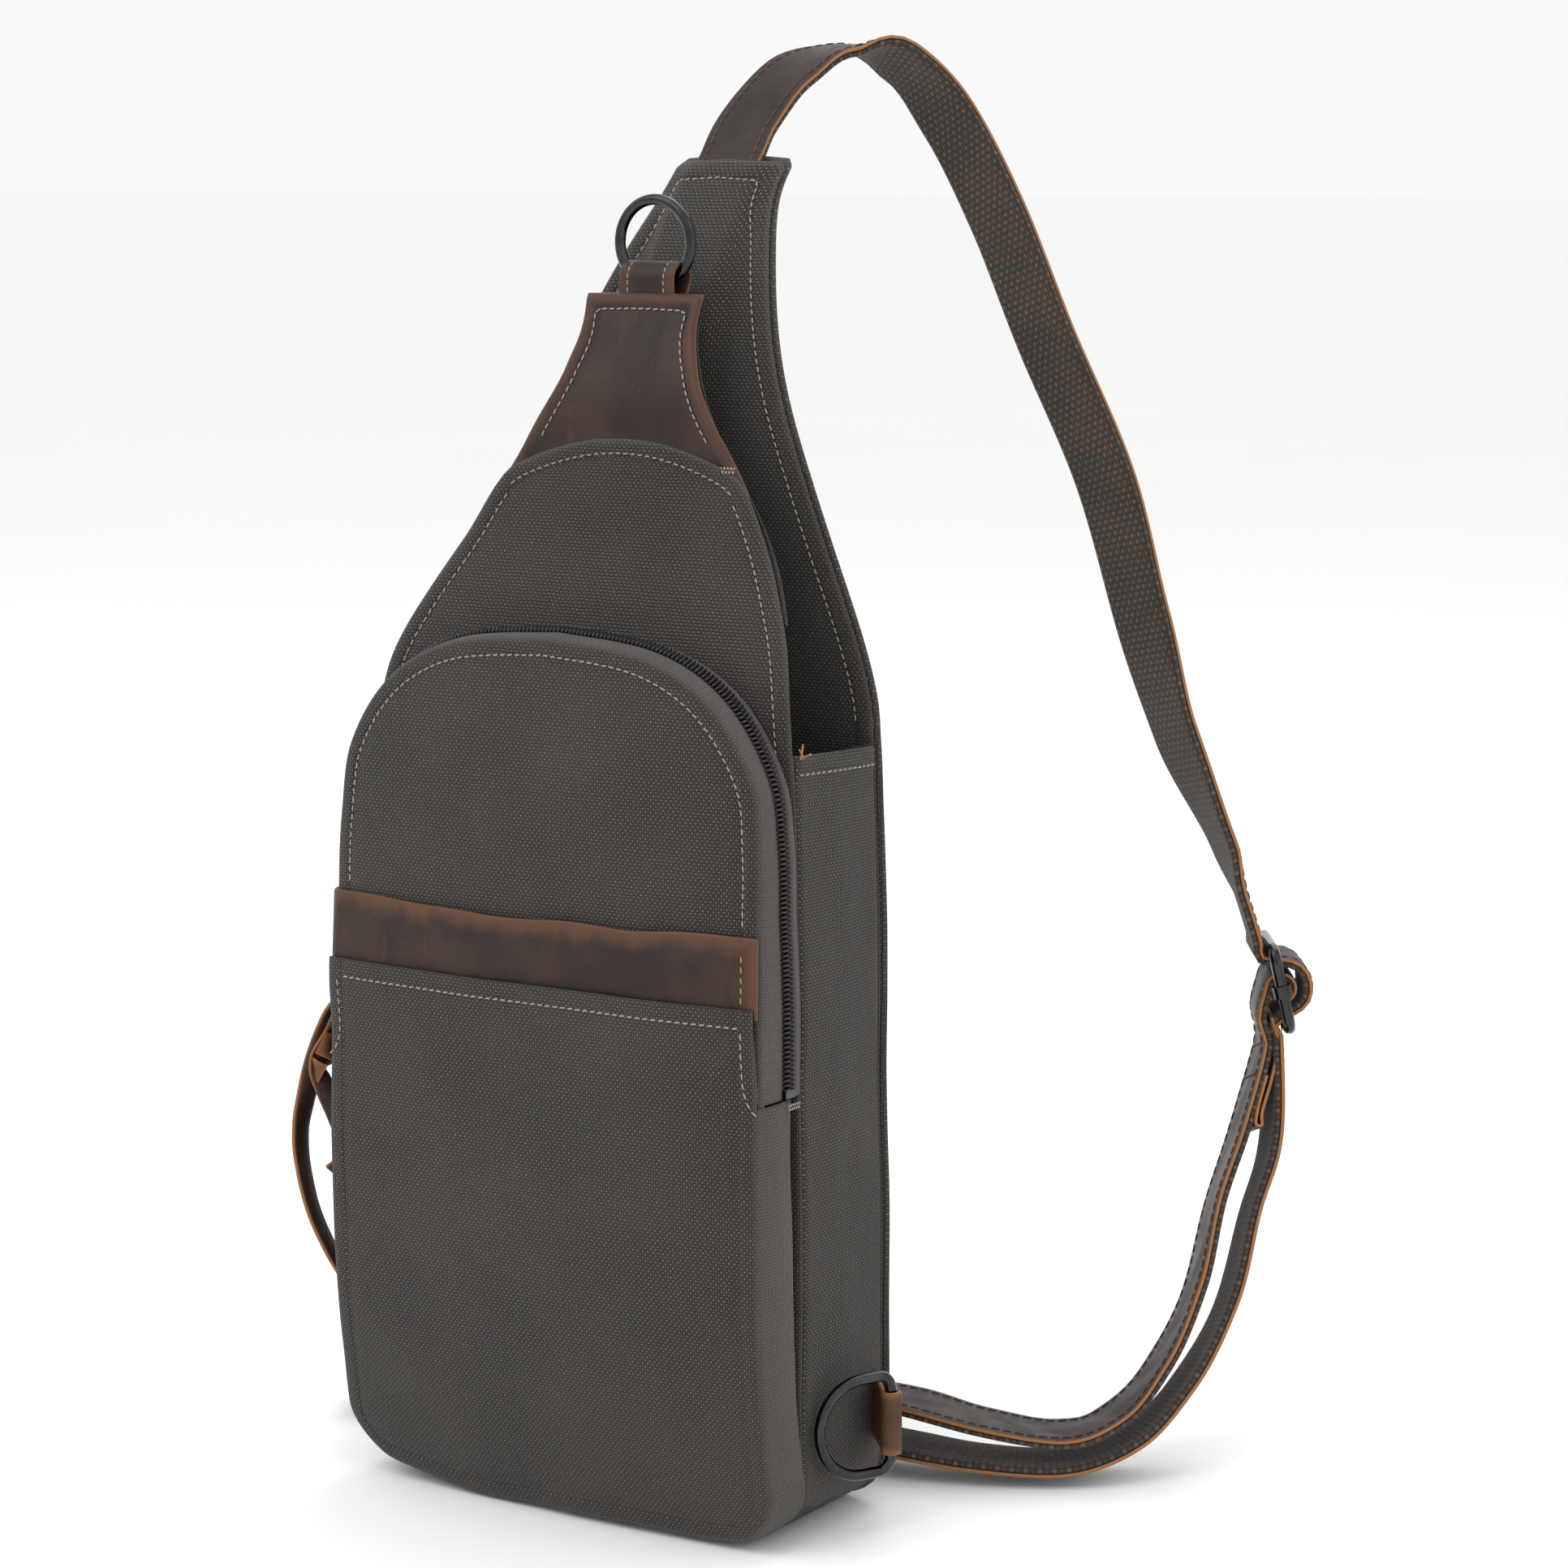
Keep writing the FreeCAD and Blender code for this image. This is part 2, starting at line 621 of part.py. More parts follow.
def snap_spot(height):
    """Point and rearward normal on the back face of the flap at this height."""
    face = shifted(flap_profile(), CANVAS + LINING)
    edge = curve(face)
    cut = edge.common(Part.makeBox(2, FAR, 0.02, V(-1, -FAR / 2, height)))
    point = cut.Vertexes[0].Point
    higher = edge.common(Part.makeBox(2, FAR, 0.02, V(-1, -FAR / 2, height + 2))).Vertexes[0].Point
    along = unit(higher - point)
    return point, V(0, along.z, -along.y)


def make_snap():
    """Magnetic snap: stud on the flap, socket on the back panel."""
    height = FLAP_TOP - SNAP_DROP
    point, normal = snap_spot(height)
    start = point + normal * PLAY
    stud = Part.makeCylinder(SNAP_DIAMETER / 2, SNAP_HEIGHT, start, normal)
    stud = stud.fuse(Part.makeCylinder(SNAP_DIAMETER / 5, SNAP_HEIGHT + 2, start, normal))
    save(stud.removeSplitter(), "snap_stud")
    angle = math.asin((height - LEAN_START) / LEAN_RADIUS)
    normal = V(0, -math.cos(angle), math.sin(angle))
    start = LEAN_CENTRE + normal * (LEAN_RADIUS + 0.05)
    socket = Part.makeCylinder(SNAP_DIAMETER / 2, SNAP_HEIGHT, start, normal)
    hole = Part.makeCylinder(SNAP_DIAMETER / 5 + PLAY, SNAP_HEIGHT, start + normal, normal)
    save(socket.cut(hole), "snap_socket")


# ---- side tabs and D-rings -----------------------------------------------------------------
def dring(bar_centre, bar_axis, reach_axis, wire_radius=WIRE_RADIUS):
    """D-ring: straight bar through bar_centre, round end at DRING_REACH along reach_axis."""
    half = DRING_OPENING / 2 + WIRE_RADIUS
    corner = 5.0
    reach = DRING_REACH
    bend = corner * (1 - math.sqrt(0.5))
    arm = reach - half
    low = V(0, 0, -half)
    points = [
        Part.makeLine(V(0, 0, -half + corner), V(0, 0, half - corner)),
        Part.Arc(V(0, 0, half - corner), V(bend, 0, half - bend), V(corner, 0, half)).toShape(),
        Part.makeLine(V(corner, 0, half), V(arm, 0, half)),
        Part.Arc(V(arm, 0, half), V(reach, 0, 0), V(arm, 0, -half)).toShape(),
        Part.makeLine(V(arm, 0, -half), V(corner, 0, -half)),
        Part.Arc(V(corner, 0, -half), V(bend, 0, low.z + bend), V(0, 0, -half + corner)).toShape(),
    ]
    path = Part.Wire(points)
    circle = Part.Wire(Part.makeCircle(wire_radius, V(0, 0, 0), V(0, 0, 1)))
    ring = path.makePipeShell([circle], True, True)
    ring = ring if ring.ShapeType == "Solid" else Part.Solid(Part.Shell(ring.Faces))
    side = bar_axis.cross(reach_axis)
    return placed(ring, bar_centre, reach_axis, side, bar_axis)


def side_tab(root, root_axis, bar_centre, bar_axis, reach_axis):
    """Two plies of leather from the side seam, wrapped round the bar of the D-ring."""
    inner = WIRE_RADIUS + PLAY
    outer = inner + LEATHER
    start = bar_centre - bar_axis * (TAB_WIDTH / 2)
    tube = Part.makeCylinder(outer, TAB_WIDTH, start, bar_axis)
    bore = Part.makeCylinder(inner, TAB_WIDTH + 2, start - bar_axis, bar_axis)
    along = unit(bar_centre - root)
    wires = []
    for point, axis in ((root, root_axis), (bar_centre - along * 1.0, bar_axis)):
        outward = unit(along.cross(axis))
        left = point - axis * (TAB_WIDTH / 2)
        right = point + axis * (TAB_WIDTH / 2)
        corners = [left - outward * LEATHER, right - outward * LEATHER]
        corners += [right + outward * LEATHER, left + outward * LEATHER]
        wires.append(Part.makePolygon(corners + corners[:1]))
    plies = Part.makeLoft(wires, True, True)
    room = dring(bar_centre, bar_axis, reach_axis, WIRE_RADIUS + PLAY)
    return solid_of(tube.fuse(plies).cut([bore, room]).removeSplitter())


def right_ring_axes():
    return V(HALF_WIDTH + 16, 4, TAB_HEIGHT), V(0, 0, 1), V(-0.454, -0.891, 0)


def left_ring_axes():
    """The left ring is drawn out and down by the strap that is looped through it."""
    bar = heading(LOOP_ROUTE[-1][1])
    leg = V(-bar.y, bar.x, 0)
    slope = math.radians(LEFT_RING_SLOPE)
    reach = leg * -math.cos(slope) - V(0, 0, math.sin(slope))
    return LOOP_END - reach * DRING_REACH, bar, reach


def make_side_rings():
    root = V(HALF_WIDTH + PLAY + LEATHER, BACK - 5, TAB_HEIGHT)
    centre, bar, reach = right_ring_axes()
    save(side_tab(root, V(0, 0, 1), centre, bar, reach), "side_tab_right")
    save(dring(centre, bar, reach), "d_ring_right")
    centre, bar, reach = left_ring_axes()
    root = V(-HALF_WIDTH - PLAY - LEATHER, BACK - 2, TAB_HEIGHT)
    save(side_tab(root, V(0, 0, 1), centre, bar, reach), "side_tab_left")
    save(dring(centre, bar, reach), "d_ring_left")


# ---- strap ---------------------------------------------------------------------------------
def behind(across, back, height):
    """Point at a share of the half width, a distance behind the back seam and a height."""
    return V(across * HALF_WIDTH, BACK + back, height)


# Route of the strap's middle from the tip to the slider: share of the half width, distance
# behind the back seam, share of the top height, heading of the strap's width from +X.
UPPER_STEPS = [
    (0, 55, 1.031, 0), (0.08, 71, 1.068, 0), (0.21, 88, 1.085, -2), (0.38, 101, 1.076, -4),
    (0.54, 111, 1.031, -6), (0.73, 117, 0.956, -8), (0.92, 122, 0.863, -8),
    (1.15, 129, 0.756, -8), (1.3, 133, 0.649, -14), (1.44, 137, 0.556, -26),
    (1.62, 144, 0.471, -42),
]
UPPER_ROUTE = [(behind(x, y, z * TOP_HEIGHT), turn) for x, y, z, turn in UPPER_STEPS]
SLIDER_CENTRE = behind(1.83, 151, 0.362 * TOP_HEIGHT)
SLIDER_ALONG = unit(V(0.183, 0.118, -0.976))
SLIDER_HEADING = -57
# Doubled loop from the slider to the left ring, with the spread of its two legs at the end of
# each row. The hanging part keeps shares of the top height, the lying part true heights.
HANGING_STEPS = [
    (1.854, 148, 0.292, 11), (1.82, 137, 0.244, 12), (1.798, 124, 0.192, 13),
    (1.787, 109, 0.126, 12.5),
]
LYING_STEPS = [
    (1.72, 90, 33, -57, 11), (1.607, 73, 17, -57, 10), (1.438, 58, 11, -57, 10),
    (1.157, 45, 13, -60, 13), (0.843, 37, 17, -68, 16), (0.449, 36, 17, -82, 15),
    (0, 38, 15.5, -90, 14), (-0.404, 38, 13.5, -80, 14), (-0.742, 32, 12, -66, 14),
    (-1.011, 20.5, 10.8, -57, 14), (-1.258, 6.5, 10, -57, 14), (-1.461, -5, 9.8, -57, 14),
]
# The points were chosen for ROUTE_WIDTH: a wider strap lies that much further from the pads.
ROUTE_WIDTH = 26.0
ROUTE_SHIFT = (STRAP_WIDTH - ROUTE_WIDTH) / 2
RING_END = -1.2
LOOP_ROUTE = [(behind(x, y, z * TOP_HEIGHT), -57, gap) for x, y, z, gap in HANGING_STEPS]
for x, y, z, turn, gap in LYING_STEPS:
    away = ROUTE_SHIFT if x > RING_END else 0
    LOOP_ROUTE.append((behind(x, y + away, z), turn, gap))
LOOP_END = behind(-1.47, -5.5, 8.7)
LEFT_RING_SLOPE = 32


def heading(degrees):
    angle = math.radians(degrees)
    return V(math.cos(angle), math.sin(angle), 0)


def strap_frame(point, along, degrees):
    """Frame whose outward direction is the leather side of the strap."""
    across = heading(degrees)
    across = unit(across - along * across.dot(along))
    return point, across, along.cross(across) * -1


def route_directions(points):
    last = len(points) - 1
    return [unit(points[min(i + 1, last)] - points[max(i - 1, 0)]) for i in range(last + 1)]


def upper_frames():
    """From inside the tip sleeve, over the arch and down to the slider."""
    frames = []
    middle = LEAN_RADIUS + PLAY + STRAP_THICKNESS / 2
    for height in (TOP_HEIGHT - 40, TOP_HEIGHT - 26, TOP_HEIGHT - 12, TOP_HEIGHT):
        angle = math.asin((height - LEAN_START) / LEAN_RADIUS)
        outward = V(0, -math.cos(angle), math.sin(angle))
        frames.append((LEAN_CENTRE + outward * middle, V(1, 0, 0), outward))
    points = [frames[-1][0]] + [p for p, h in UPPER_ROUTE] + [SLIDER_CENTRE - SLIDER_ALONG * 30]
    along = route_directions(points)
    for index, (point, degrees) in enumerate(UPPER_ROUTE):
        frames.append(strap_frame(point, along[index + 1], degrees))
    return frames


def weave_frames():
    """Through the slider: inside its end wires and outside its middle bar."""
    frames = []
    hump = FRAME_WIRE / 2 + STRAP_THICKNESS * 1.5 + 2 * PLAY
    dip = -(FRAME_WIRE / 2 + STRAP_THICKNESS / 2 + SLACK)
    end = FRAME_LENGTH / 2 - FRAME_WIRE / 2
    steps = [(-30, 0), (-end - 3, dip), (-end + 3, dip), (-6, hump), (6, hump)]
    steps += [(end - 3, dip), (end + 3, dip), (30, 0)]
    for travel, offset in steps:
        point, across, outward = strap_frame(SLIDER_CENTRE, SLIDER_ALONG, SLIDER_HEADING)
        frames.append((point + SLIDER_ALONG * travel + outward * offset, across, outward))
    return frames


def loop_frames():
    """Down the outer leg, round the left ring and back up the inner leg."""
    points = [p for p, h, s in LOOP_ROUTE]
    along = route_directions(points)
    outer = []
    inner = []
    for (point, degrees, spread), direction in zip(LOOP_ROUTE, along):
        point, across, outward = strap_frame(point, direction, degrees)
        outer.append((point + outward * (spread / 2), across, outward))
        inner.append((point - outward * (spread / 2), across, outward * -1))
    point, across, outward = strap_frame(points[-1], along[-1], LOOP_ROUTE[-1][1])
    radius = LOOP_ROUTE[-1][2] / 2
    bight = []
    for turn in range(1, 6):
        angle = math.pi * turn / 6
        radial = outward * math.cos(angle) + along[-1] * math.sin(angle)
        bight.append((point + radial * radius, across, radial))
    return outer + bight + inner[::-1]


def make_strap():
    upper = upper_frames()
    weave = weave_frames()
    loop = loop_frames()
    middle = STRAP_THICKNESS / 2 - STRAP_LEATHER
    runs = {"upper": upper + weave[:1], "weave": weave, "loop": weave[-1:] + loop}
    for name, frames in runs.items():
        leather = ribbon(frames, middle, STRAP_THICKNESS / 2, STRAP_WIDTH)
        save(leather, "strap_" + name + "_leather")
        webbing = ribbon(frames, -STRAP_THICKNESS / 2, middle, STRAP_WIDTH)
        save(webbing, "strap_" + name + "_webbing")


def make_strap_end():
    """The strap's end, wrapped round the slider's bar and sewn to the inner leg."""
    point, across, outward = strap_frame(SLIDER_CENTRE, SLIDER_ALONG, SLIDER_HEADING)
    inner = FRAME_WIRE / 2 + PLAY
    outer = inner + STRAP_THICKNESS
    start = point - across * (STRAP_WIDTH / 2)
    tube = Part.makeCylinder(outer, STRAP_WIDTH, start, across)
    bore = Part.makeCylinder(inner, STRAP_WIDTH + 2, start - across, across)
    reach = (inner + outer) / 2
    clear = FRAME_WIRE / 2 + 2 * STRAP_THICKNESS + 2 * PLAY
    frames = []
    for travel, offset in ((0, reach), (9, clear), (17, clear)):
        spot = point + SLIDER_ALONG * travel - outward * offset
        frames.append((spot, across, outward * -1))
    frames.append(loop_frames()[-1])
    leg = ribbon(frames, -STRAP_THICKNESS / 2, STRAP_THICKNESS / 2, STRAP_WIDTH)
    save(solid_of(tube.fuse(leg).cut(bore).removeSplitter()), "strap_end")


def make_slider_frame():
    """Wire frame with a middle bar whose ends wrap round the side wires."""
    point, across, outward = strap_frame(SLIDER_CENTRE, SLIDER_ALONG, SLIDER_HEADING)
    radius = FRAME_WIRE / 2
    half = STRAP_WIDTH / 2 + 1.8 + radius
    rise = FRAME_LENGTH / 2 - radius
    corner = 5.0
    bend = corner * (1 - math.sqrt(0.5))
    edges = []
    corners = [(1, 1), (-1, 1), (-1, -1), (1, -1)]
    marks = []
    for sx, sz in corners:
        side = V(sx * half, 0, sz * (rise - corner))
        cap = V(sx * (half - corner), 0, sz * rise)
        middle = V(sx * (half - bend), 0, sz * (rise - bend))
        marks.append((side, middle, cap) if sx * sz > 0 else (cap, middle, side))
    for index, (first, middle, last) in enumerate(marks):
        edges.append(Part.Arc(first, middle, last).toShape())
        edges.append(Part.makeLine(last, marks[(index + 1) % 4][0]))
    path = Part.Wire(edges)
    begin = marks[0][0]
    circle = Part.Wire(Part.makeCircle(radius, begin, V(0, 0, 1)))
    frame = path.makePipeShell([circle], True, True)
    frame = placed(frame, point, across, outward, SLIDER_ALONG)
    save(frame, "slider_frame")
    bar = Part.makeCylinder(radius, 2 * (half - radius - 0.2), V(-(half - radius - 0.2), 0, 0), V(1, 0, 0))
    for side in (-1, 1):
        wrap = Part.makeCylinder(radius + 1.4, 4.4, V(side * half, 0, -2.2), V(0, 0, 1))
        wrap = wrap.cut(Part.makeCylinder(radius, 6, V(side * half, 0, -3), V(0, 0, 1)))
        bar = bar.fuse(wrap)
    save(placed(bar.removeSplitter(), point, across, outward, SLIDER_ALONG), "slider_bar")


make_body_shell()
make_sleeve()
make_pads()
make_pocket()
make_slip_pocket()
make_zip_slider()
make_zip_pull()
make_zip_stops()
make_flap()
make_ring_tab()
make_top_ring()
make_snap()
make_side_rings()
make_strap()
make_strap_end()
make_slider_frame()
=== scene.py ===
import bmesh
import bpy
import math
import random
from mathutils import Matrix, Vector, noise


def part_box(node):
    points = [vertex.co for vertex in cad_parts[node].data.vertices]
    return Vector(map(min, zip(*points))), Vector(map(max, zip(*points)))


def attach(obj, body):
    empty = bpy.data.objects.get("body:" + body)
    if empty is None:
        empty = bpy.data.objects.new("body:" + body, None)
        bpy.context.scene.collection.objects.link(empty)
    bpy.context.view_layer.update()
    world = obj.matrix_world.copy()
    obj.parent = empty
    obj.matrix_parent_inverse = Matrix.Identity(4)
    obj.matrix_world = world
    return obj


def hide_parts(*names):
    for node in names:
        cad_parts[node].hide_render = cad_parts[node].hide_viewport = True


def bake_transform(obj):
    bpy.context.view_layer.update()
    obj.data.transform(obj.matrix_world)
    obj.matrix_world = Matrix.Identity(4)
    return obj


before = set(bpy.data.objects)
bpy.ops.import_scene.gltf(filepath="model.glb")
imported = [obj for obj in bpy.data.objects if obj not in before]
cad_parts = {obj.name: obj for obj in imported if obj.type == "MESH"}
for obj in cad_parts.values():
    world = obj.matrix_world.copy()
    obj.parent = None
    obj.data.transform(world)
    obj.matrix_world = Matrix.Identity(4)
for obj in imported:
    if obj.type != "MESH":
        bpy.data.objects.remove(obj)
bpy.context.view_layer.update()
mm = 0.001
print("frame loaded")


# places taken from the frame
gussetLow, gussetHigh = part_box("gusset")
bag = {
    "half": gussetHigh.x,  # half width at the bottom corners
    "front": gussetLow.y - 1.6 * mm,  # outer face of the front panel
    "back": gussetHigh.y,
    "hem": gussetHigh.z,  # height of the open top hem
    "top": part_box("back_panel")[1].z,
    "corner": 18 * mm,
    "taper": 2.5 * mm,  # the sides draw in this much up to the hem
    "canvas": 1.5 * mm,
    "leather": 1.6 * mm,
    "pocketRound": 2.2 * mm,  # turned edge of the pocket front
    "zipEnd": 156 * mm,
    "slipHem": 188 * mm,
}


# small helpers
def deselectAll():
    if bpy.context.object and bpy.context.object.mode != "OBJECT":
        bpy.ops.object.mode_set(mode="OBJECT")
    bpy.ops.object.select_all(action="DESELECT")


def editMesh(choice):  # into edit mode with everything selected or nothing
    bpy.ops.object.mode_set(mode="EDIT")
    bpy.ops.mesh.select_all(action=choice)


def workOn(piece):
    deselectAll()
    piece.select_set(True)
    bpy.context.view_layer.objects.active = piece


def between(low, high, value):  # 0 below low, 1 above high, smooth in between
    share = min(max((value - low) / (high - low), 0.0), 1.0)
    return share * share * (3 - 2 * share)


def throughPoints(points, at):  # smooth value through (place, value) pairs
    last = len(points) - 1
    at = min(max(at, points[0][0]), points[last][0])
    i = 0
    while i < last - 1 and at > points[i + 1][0]:
        i += 1

    def slope(k):
        before, after = points[max(k - 1, 0)], points[min(k + 1, last)]
        return (after[1] - before[1]) / (after[0] - before[0])

    (a, start), (b, end) = points[i], points[i + 1]
    span = b - a
    t = (at - a) / span
    pull = (t ** 3 - 2 * t ** 2 + t) * slope(i) + (t ** 3 - t ** 2) * slope(i + 1)
    return start + (end - start) * (3 * t ** 2 - 2 * t ** 3) + pull * span


def smoothLine(points, steps):  # points on a curve through the given ones
    points = [Vector(p) for p in points]
    made = []
    last = len(points) - 1
    for i in range(last):
        before, a, b, after = (points[max(min(k, last), 0)] for k in (i - 1, i, i + 1, i + 2))
        for k in range(steps):
            t = k / steps
            made.append(0.5 * (2 * a + (b - before) * t + (2 * before - 5 * a + 4 * b - after) * t ** 2
                               + (3 * a - before - 3 * b + after) * t ** 3))
    return made + [points[-1]]


def evenly(line, count):  # the same line cut into count equal steps
    reach = [0.0]
    for a, b in zip(line, line[1:]):
        reach.append(reach[-1] + (b - a).length)
    made = []
    i = 0
    for k in range(count + 1):
        want = reach[-1] * k / count
        while i < len(line) - 2 and reach[i + 1] < want:
            i += 1
        step = max(reach[i + 1] - reach[i], 1e-9)
        made.append(line[i].lerp(line[i + 1], min((want - reach[i]) / step, 1.0)))
    return made


def lengthOf(line):
    return sum((b - a).length for a, b in zip(line, line[1:]))


def ripple(x, z, size, seed):  # soft unevenness of worn cloth, -1 to 1
    return noise.noise(Vector((x / size, z / size, seed)))


def shapedGrid(name, columns, rows, place, flat, wear=None):
    # a flat grid whose points are moved onto the piece's own surface; flat gives its cloth pattern
    deselectAll()
    bpy.ops.mesh.primitive_grid_add(x_subdivisions=columns, y_subdivisions=rows, size=1)
    piece = bpy.context.object
    piece.name = name
    mesh = piece.data
    mesh.name = name
    spots = [(p.co.x + 0.5, p.co.y + 0.5) for p in mesh.vertices]
    pattern = mesh.uv_layers[0].data
    for loop in mesh.loops:
        pattern[loop.index].uv = flat(*spots[loop.vertex_index])
    edge = mesh.attributes.new("wear", "FLOAT", "POINT")
    for point, (u, v) in zip(mesh.vertices, spots):
        point.co = place(u, v)
        edge.data[point.index].value = wear(u, v) if wear else 99.0
    editMesh("SELECT")
    bpy.ops.mesh.remove_doubles(threshold=0.00001)
    bpy.ops.object.mode_set(mode="OBJECT")
    return piece


def modify(piece, kind, **settings):
    workOn(piece)
    extra = piece.modifiers.new(kind.title(), kind)
    for key, value in settings.items():
        setattr(extra, key, value)
    bpy.ops.object.modifier_apply(modifier=extra.name)
    return piece


def thicken(piece, thickness, rounding=0.45):
    modify(piece, "SOLIDIFY", thickness=thickness, offset=-1)
    modify(piece, "BEVEL", width=thickness * rounding, segments=2, limit_method="ANGLE", angle_limit=1.0)
    bpy.ops.object.shade_smooth_by_angle(angle=1.0)
    return piece


def cutAway(piece, point, normal, chosen):
    # trims what lies beyond a plane, over the chosen faces only
    workOn(piece)
    bpy.ops.object.mode_set(mode="EDIT")
    bpy.ops.mesh.select_mode(type="FACE")
    bpy.ops.mesh.select_all(action="DESELECT")
    bpy.ops.object.mode_set(mode="OBJECT")
    for face in piece.data.polygons:
        face.select = chosen(face.center)
    bpy.ops.object.mode_set(mode="EDIT")
    bpy.ops.mesh.bisect(plane_co=point, plane_no=normal, clear_outer=True)
    bpy.ops.object.mode_set(mode="OBJECT")
    return piece


def finishPiece(piece, material, body, nodes=()):
    piece.data.materials.clear()
    piece.data.materials.append(material)
    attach(piece, body)
    if nodes:
        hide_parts(*nodes)
    return piece


# camera and light
def aimed(turn, rise):  # from the middle of the scene toward a bearing and a height
    return Vector((math.sin(turn) * math.cos(rise), -math.cos(turn) * math.cos(rise), math.sin(rise)))


view = {
    "turn": math.radians(32.885),
    "rise": math.radians(8.923),
    "tilt": math.radians(-0.151),
    "distance": 1.3682,
    "lens": 93.87,
    "aim": Vector((0.0652, 0, 0.2537)),
}


def addCamera():
    back = aimed(view["turn"], view["rise"])
    bpy.ops.object.camera_add(location=view["aim"] + back * view["distance"])
    camera = bpy.context.object
    camera.rotation_mode = "QUATERNION"
    facing = (-back).to_track_quat("-Z", "Y")
    camera.rotation_quaternion = facing @ Matrix.Rotation(view["tilt"], 3, "Z").to_quaternion()
    camera.data.lens = view["lens"]
    camera.data.sensor_width = 36
    camera.data.clip_end = 50
    bpy.context.scene.camera = camera


lamps = {  # azimuth round the bag, height, size and power of each soft box
    "key": (-25, 48, 1.5, 11),
    "fill": (85, 25, 1.8, 5),
    "rim": (175, 55, 1.4, 9),
    "top": (20, 86, 1.6, 5),
}


lampAim = Vector((0, 0, 0.25))
lampReach = 1.9


def addLights():
    for name, (turn, rise, size, power) in lamps.items():
        back = aimed(math.radians(turn), math.radians(rise))
        bpy.ops.object.light_add(type="AREA", location=lampAim + back * lampReach)
        lamp = bpy.context.object
        lamp.name = name
        lamp.data.size = size
        lamp.data.energy = power
        lamp.rotation_mode = "QUATERNION"
        lamp.rotation_quaternion = (-back).to_track_quat("-Z", "Y")
    world = bpy.data.worlds.new("paleRoom")
    bpy.context.scene.world = world
    world.use_nodes = True
    setInputs(world.node_tree, world.node_tree.nodes["Background"], {"Color": (1, 1, 1, 1), "Strength": 0.95})
    bpy.context.scene.view_settings.view_transform = "Standard"


# materials: lengths in them are real ones, so a pattern keeps its size
def linear(code):  # sRGB hex to linear colour
    parts = [int(code[i:i + 2], 16) / 255 for i in (1, 3, 5)]
    return tuple(p / 12.92 if p <= 0.04045 else ((p + 0.055) / 1.055) ** 2.4 for p in parts) + (1.0,)


def setInputs(tree, node, inputs):  # values, hex colours or links, by name or in order
    pairs = inputs.items() if isinstance(inputs, dict) else enumerate(inputs)
    for key, value in pairs:
        if isinstance(value, bpy.types.NodeSocket):
            tree.links.new(value, node.inputs[key])
        else:
            node.inputs[key].default_value = linear(value) if isinstance(value, str) else value


def add(tree, kind, inputs=(), out=0, **settings):  # one node with its settings and links
    made = tree.nodes.new("ShaderNode" + kind)
    for key, value in settings.items():
        setattr(made, key, value)
    setInputs(tree, made, inputs)
    return made.outputs[out]


soft = {"interpolation_type": "SMOOTHSTEP"}
mixed = {"out": 2, "data_type": "RGBA"}
times = {"operation": "MULTIPLY"}


def newMaterial(name):
    material = bpy.data.materials.new(name)
    material.use_nodes = True
    return material, material.node_tree


def layered(tree, ground, *layers):
    # lays colours over the ground, each as its pattern's value goes from low to high
    for pattern, low, high, least, most, colour in layers:
        share = add(tree, "MapRange", (pattern, low, high, least, most), **soft)
        ground = add(tree, "Mix", {0: share, 6: ground, 7: colour}, **mixed)
    return ground


def surface(tree, colour, height, depth, strength, settings):  # colour and relief into the shader
    relief = add(tree, "Bump", {"Height": height, "Distance": depth, "Strength": strength})
    setInputs(tree, tree.nodes["Principled BSDF"], {"Base Color": colour, "Normal": relief, **settings})


def weave(tree, spot, across, along):
    # plain weave: rounded yarn tops in a chequer, with the crossing yarns lower between them
    waves = []
    for k, size in enumerate((across, along)):
        turn = add(tree, "Math", (add(tree, "SeparateXYZ", (spot,), k), math.pi / size), **times)
        waves.append(add(tree, "Math", (turn,), operation="SINE"))
    crossing = add(tree, "Math", waves, **times)
    tops = add(tree, "Math", (crossing, 0.0), operation="MAXIMUM")
    hollows = add(tree, "Math", (crossing, 0.0), operation="MINIMUM")
    return add(tree, "Math", (hollows, -0.4, tops), operation="MULTIPLY_ADD")


cloth = {"yarn": 0.95 * mm, "stretch": 1.15, "relief": 0.6 * mm, "slub": 6 * mm}


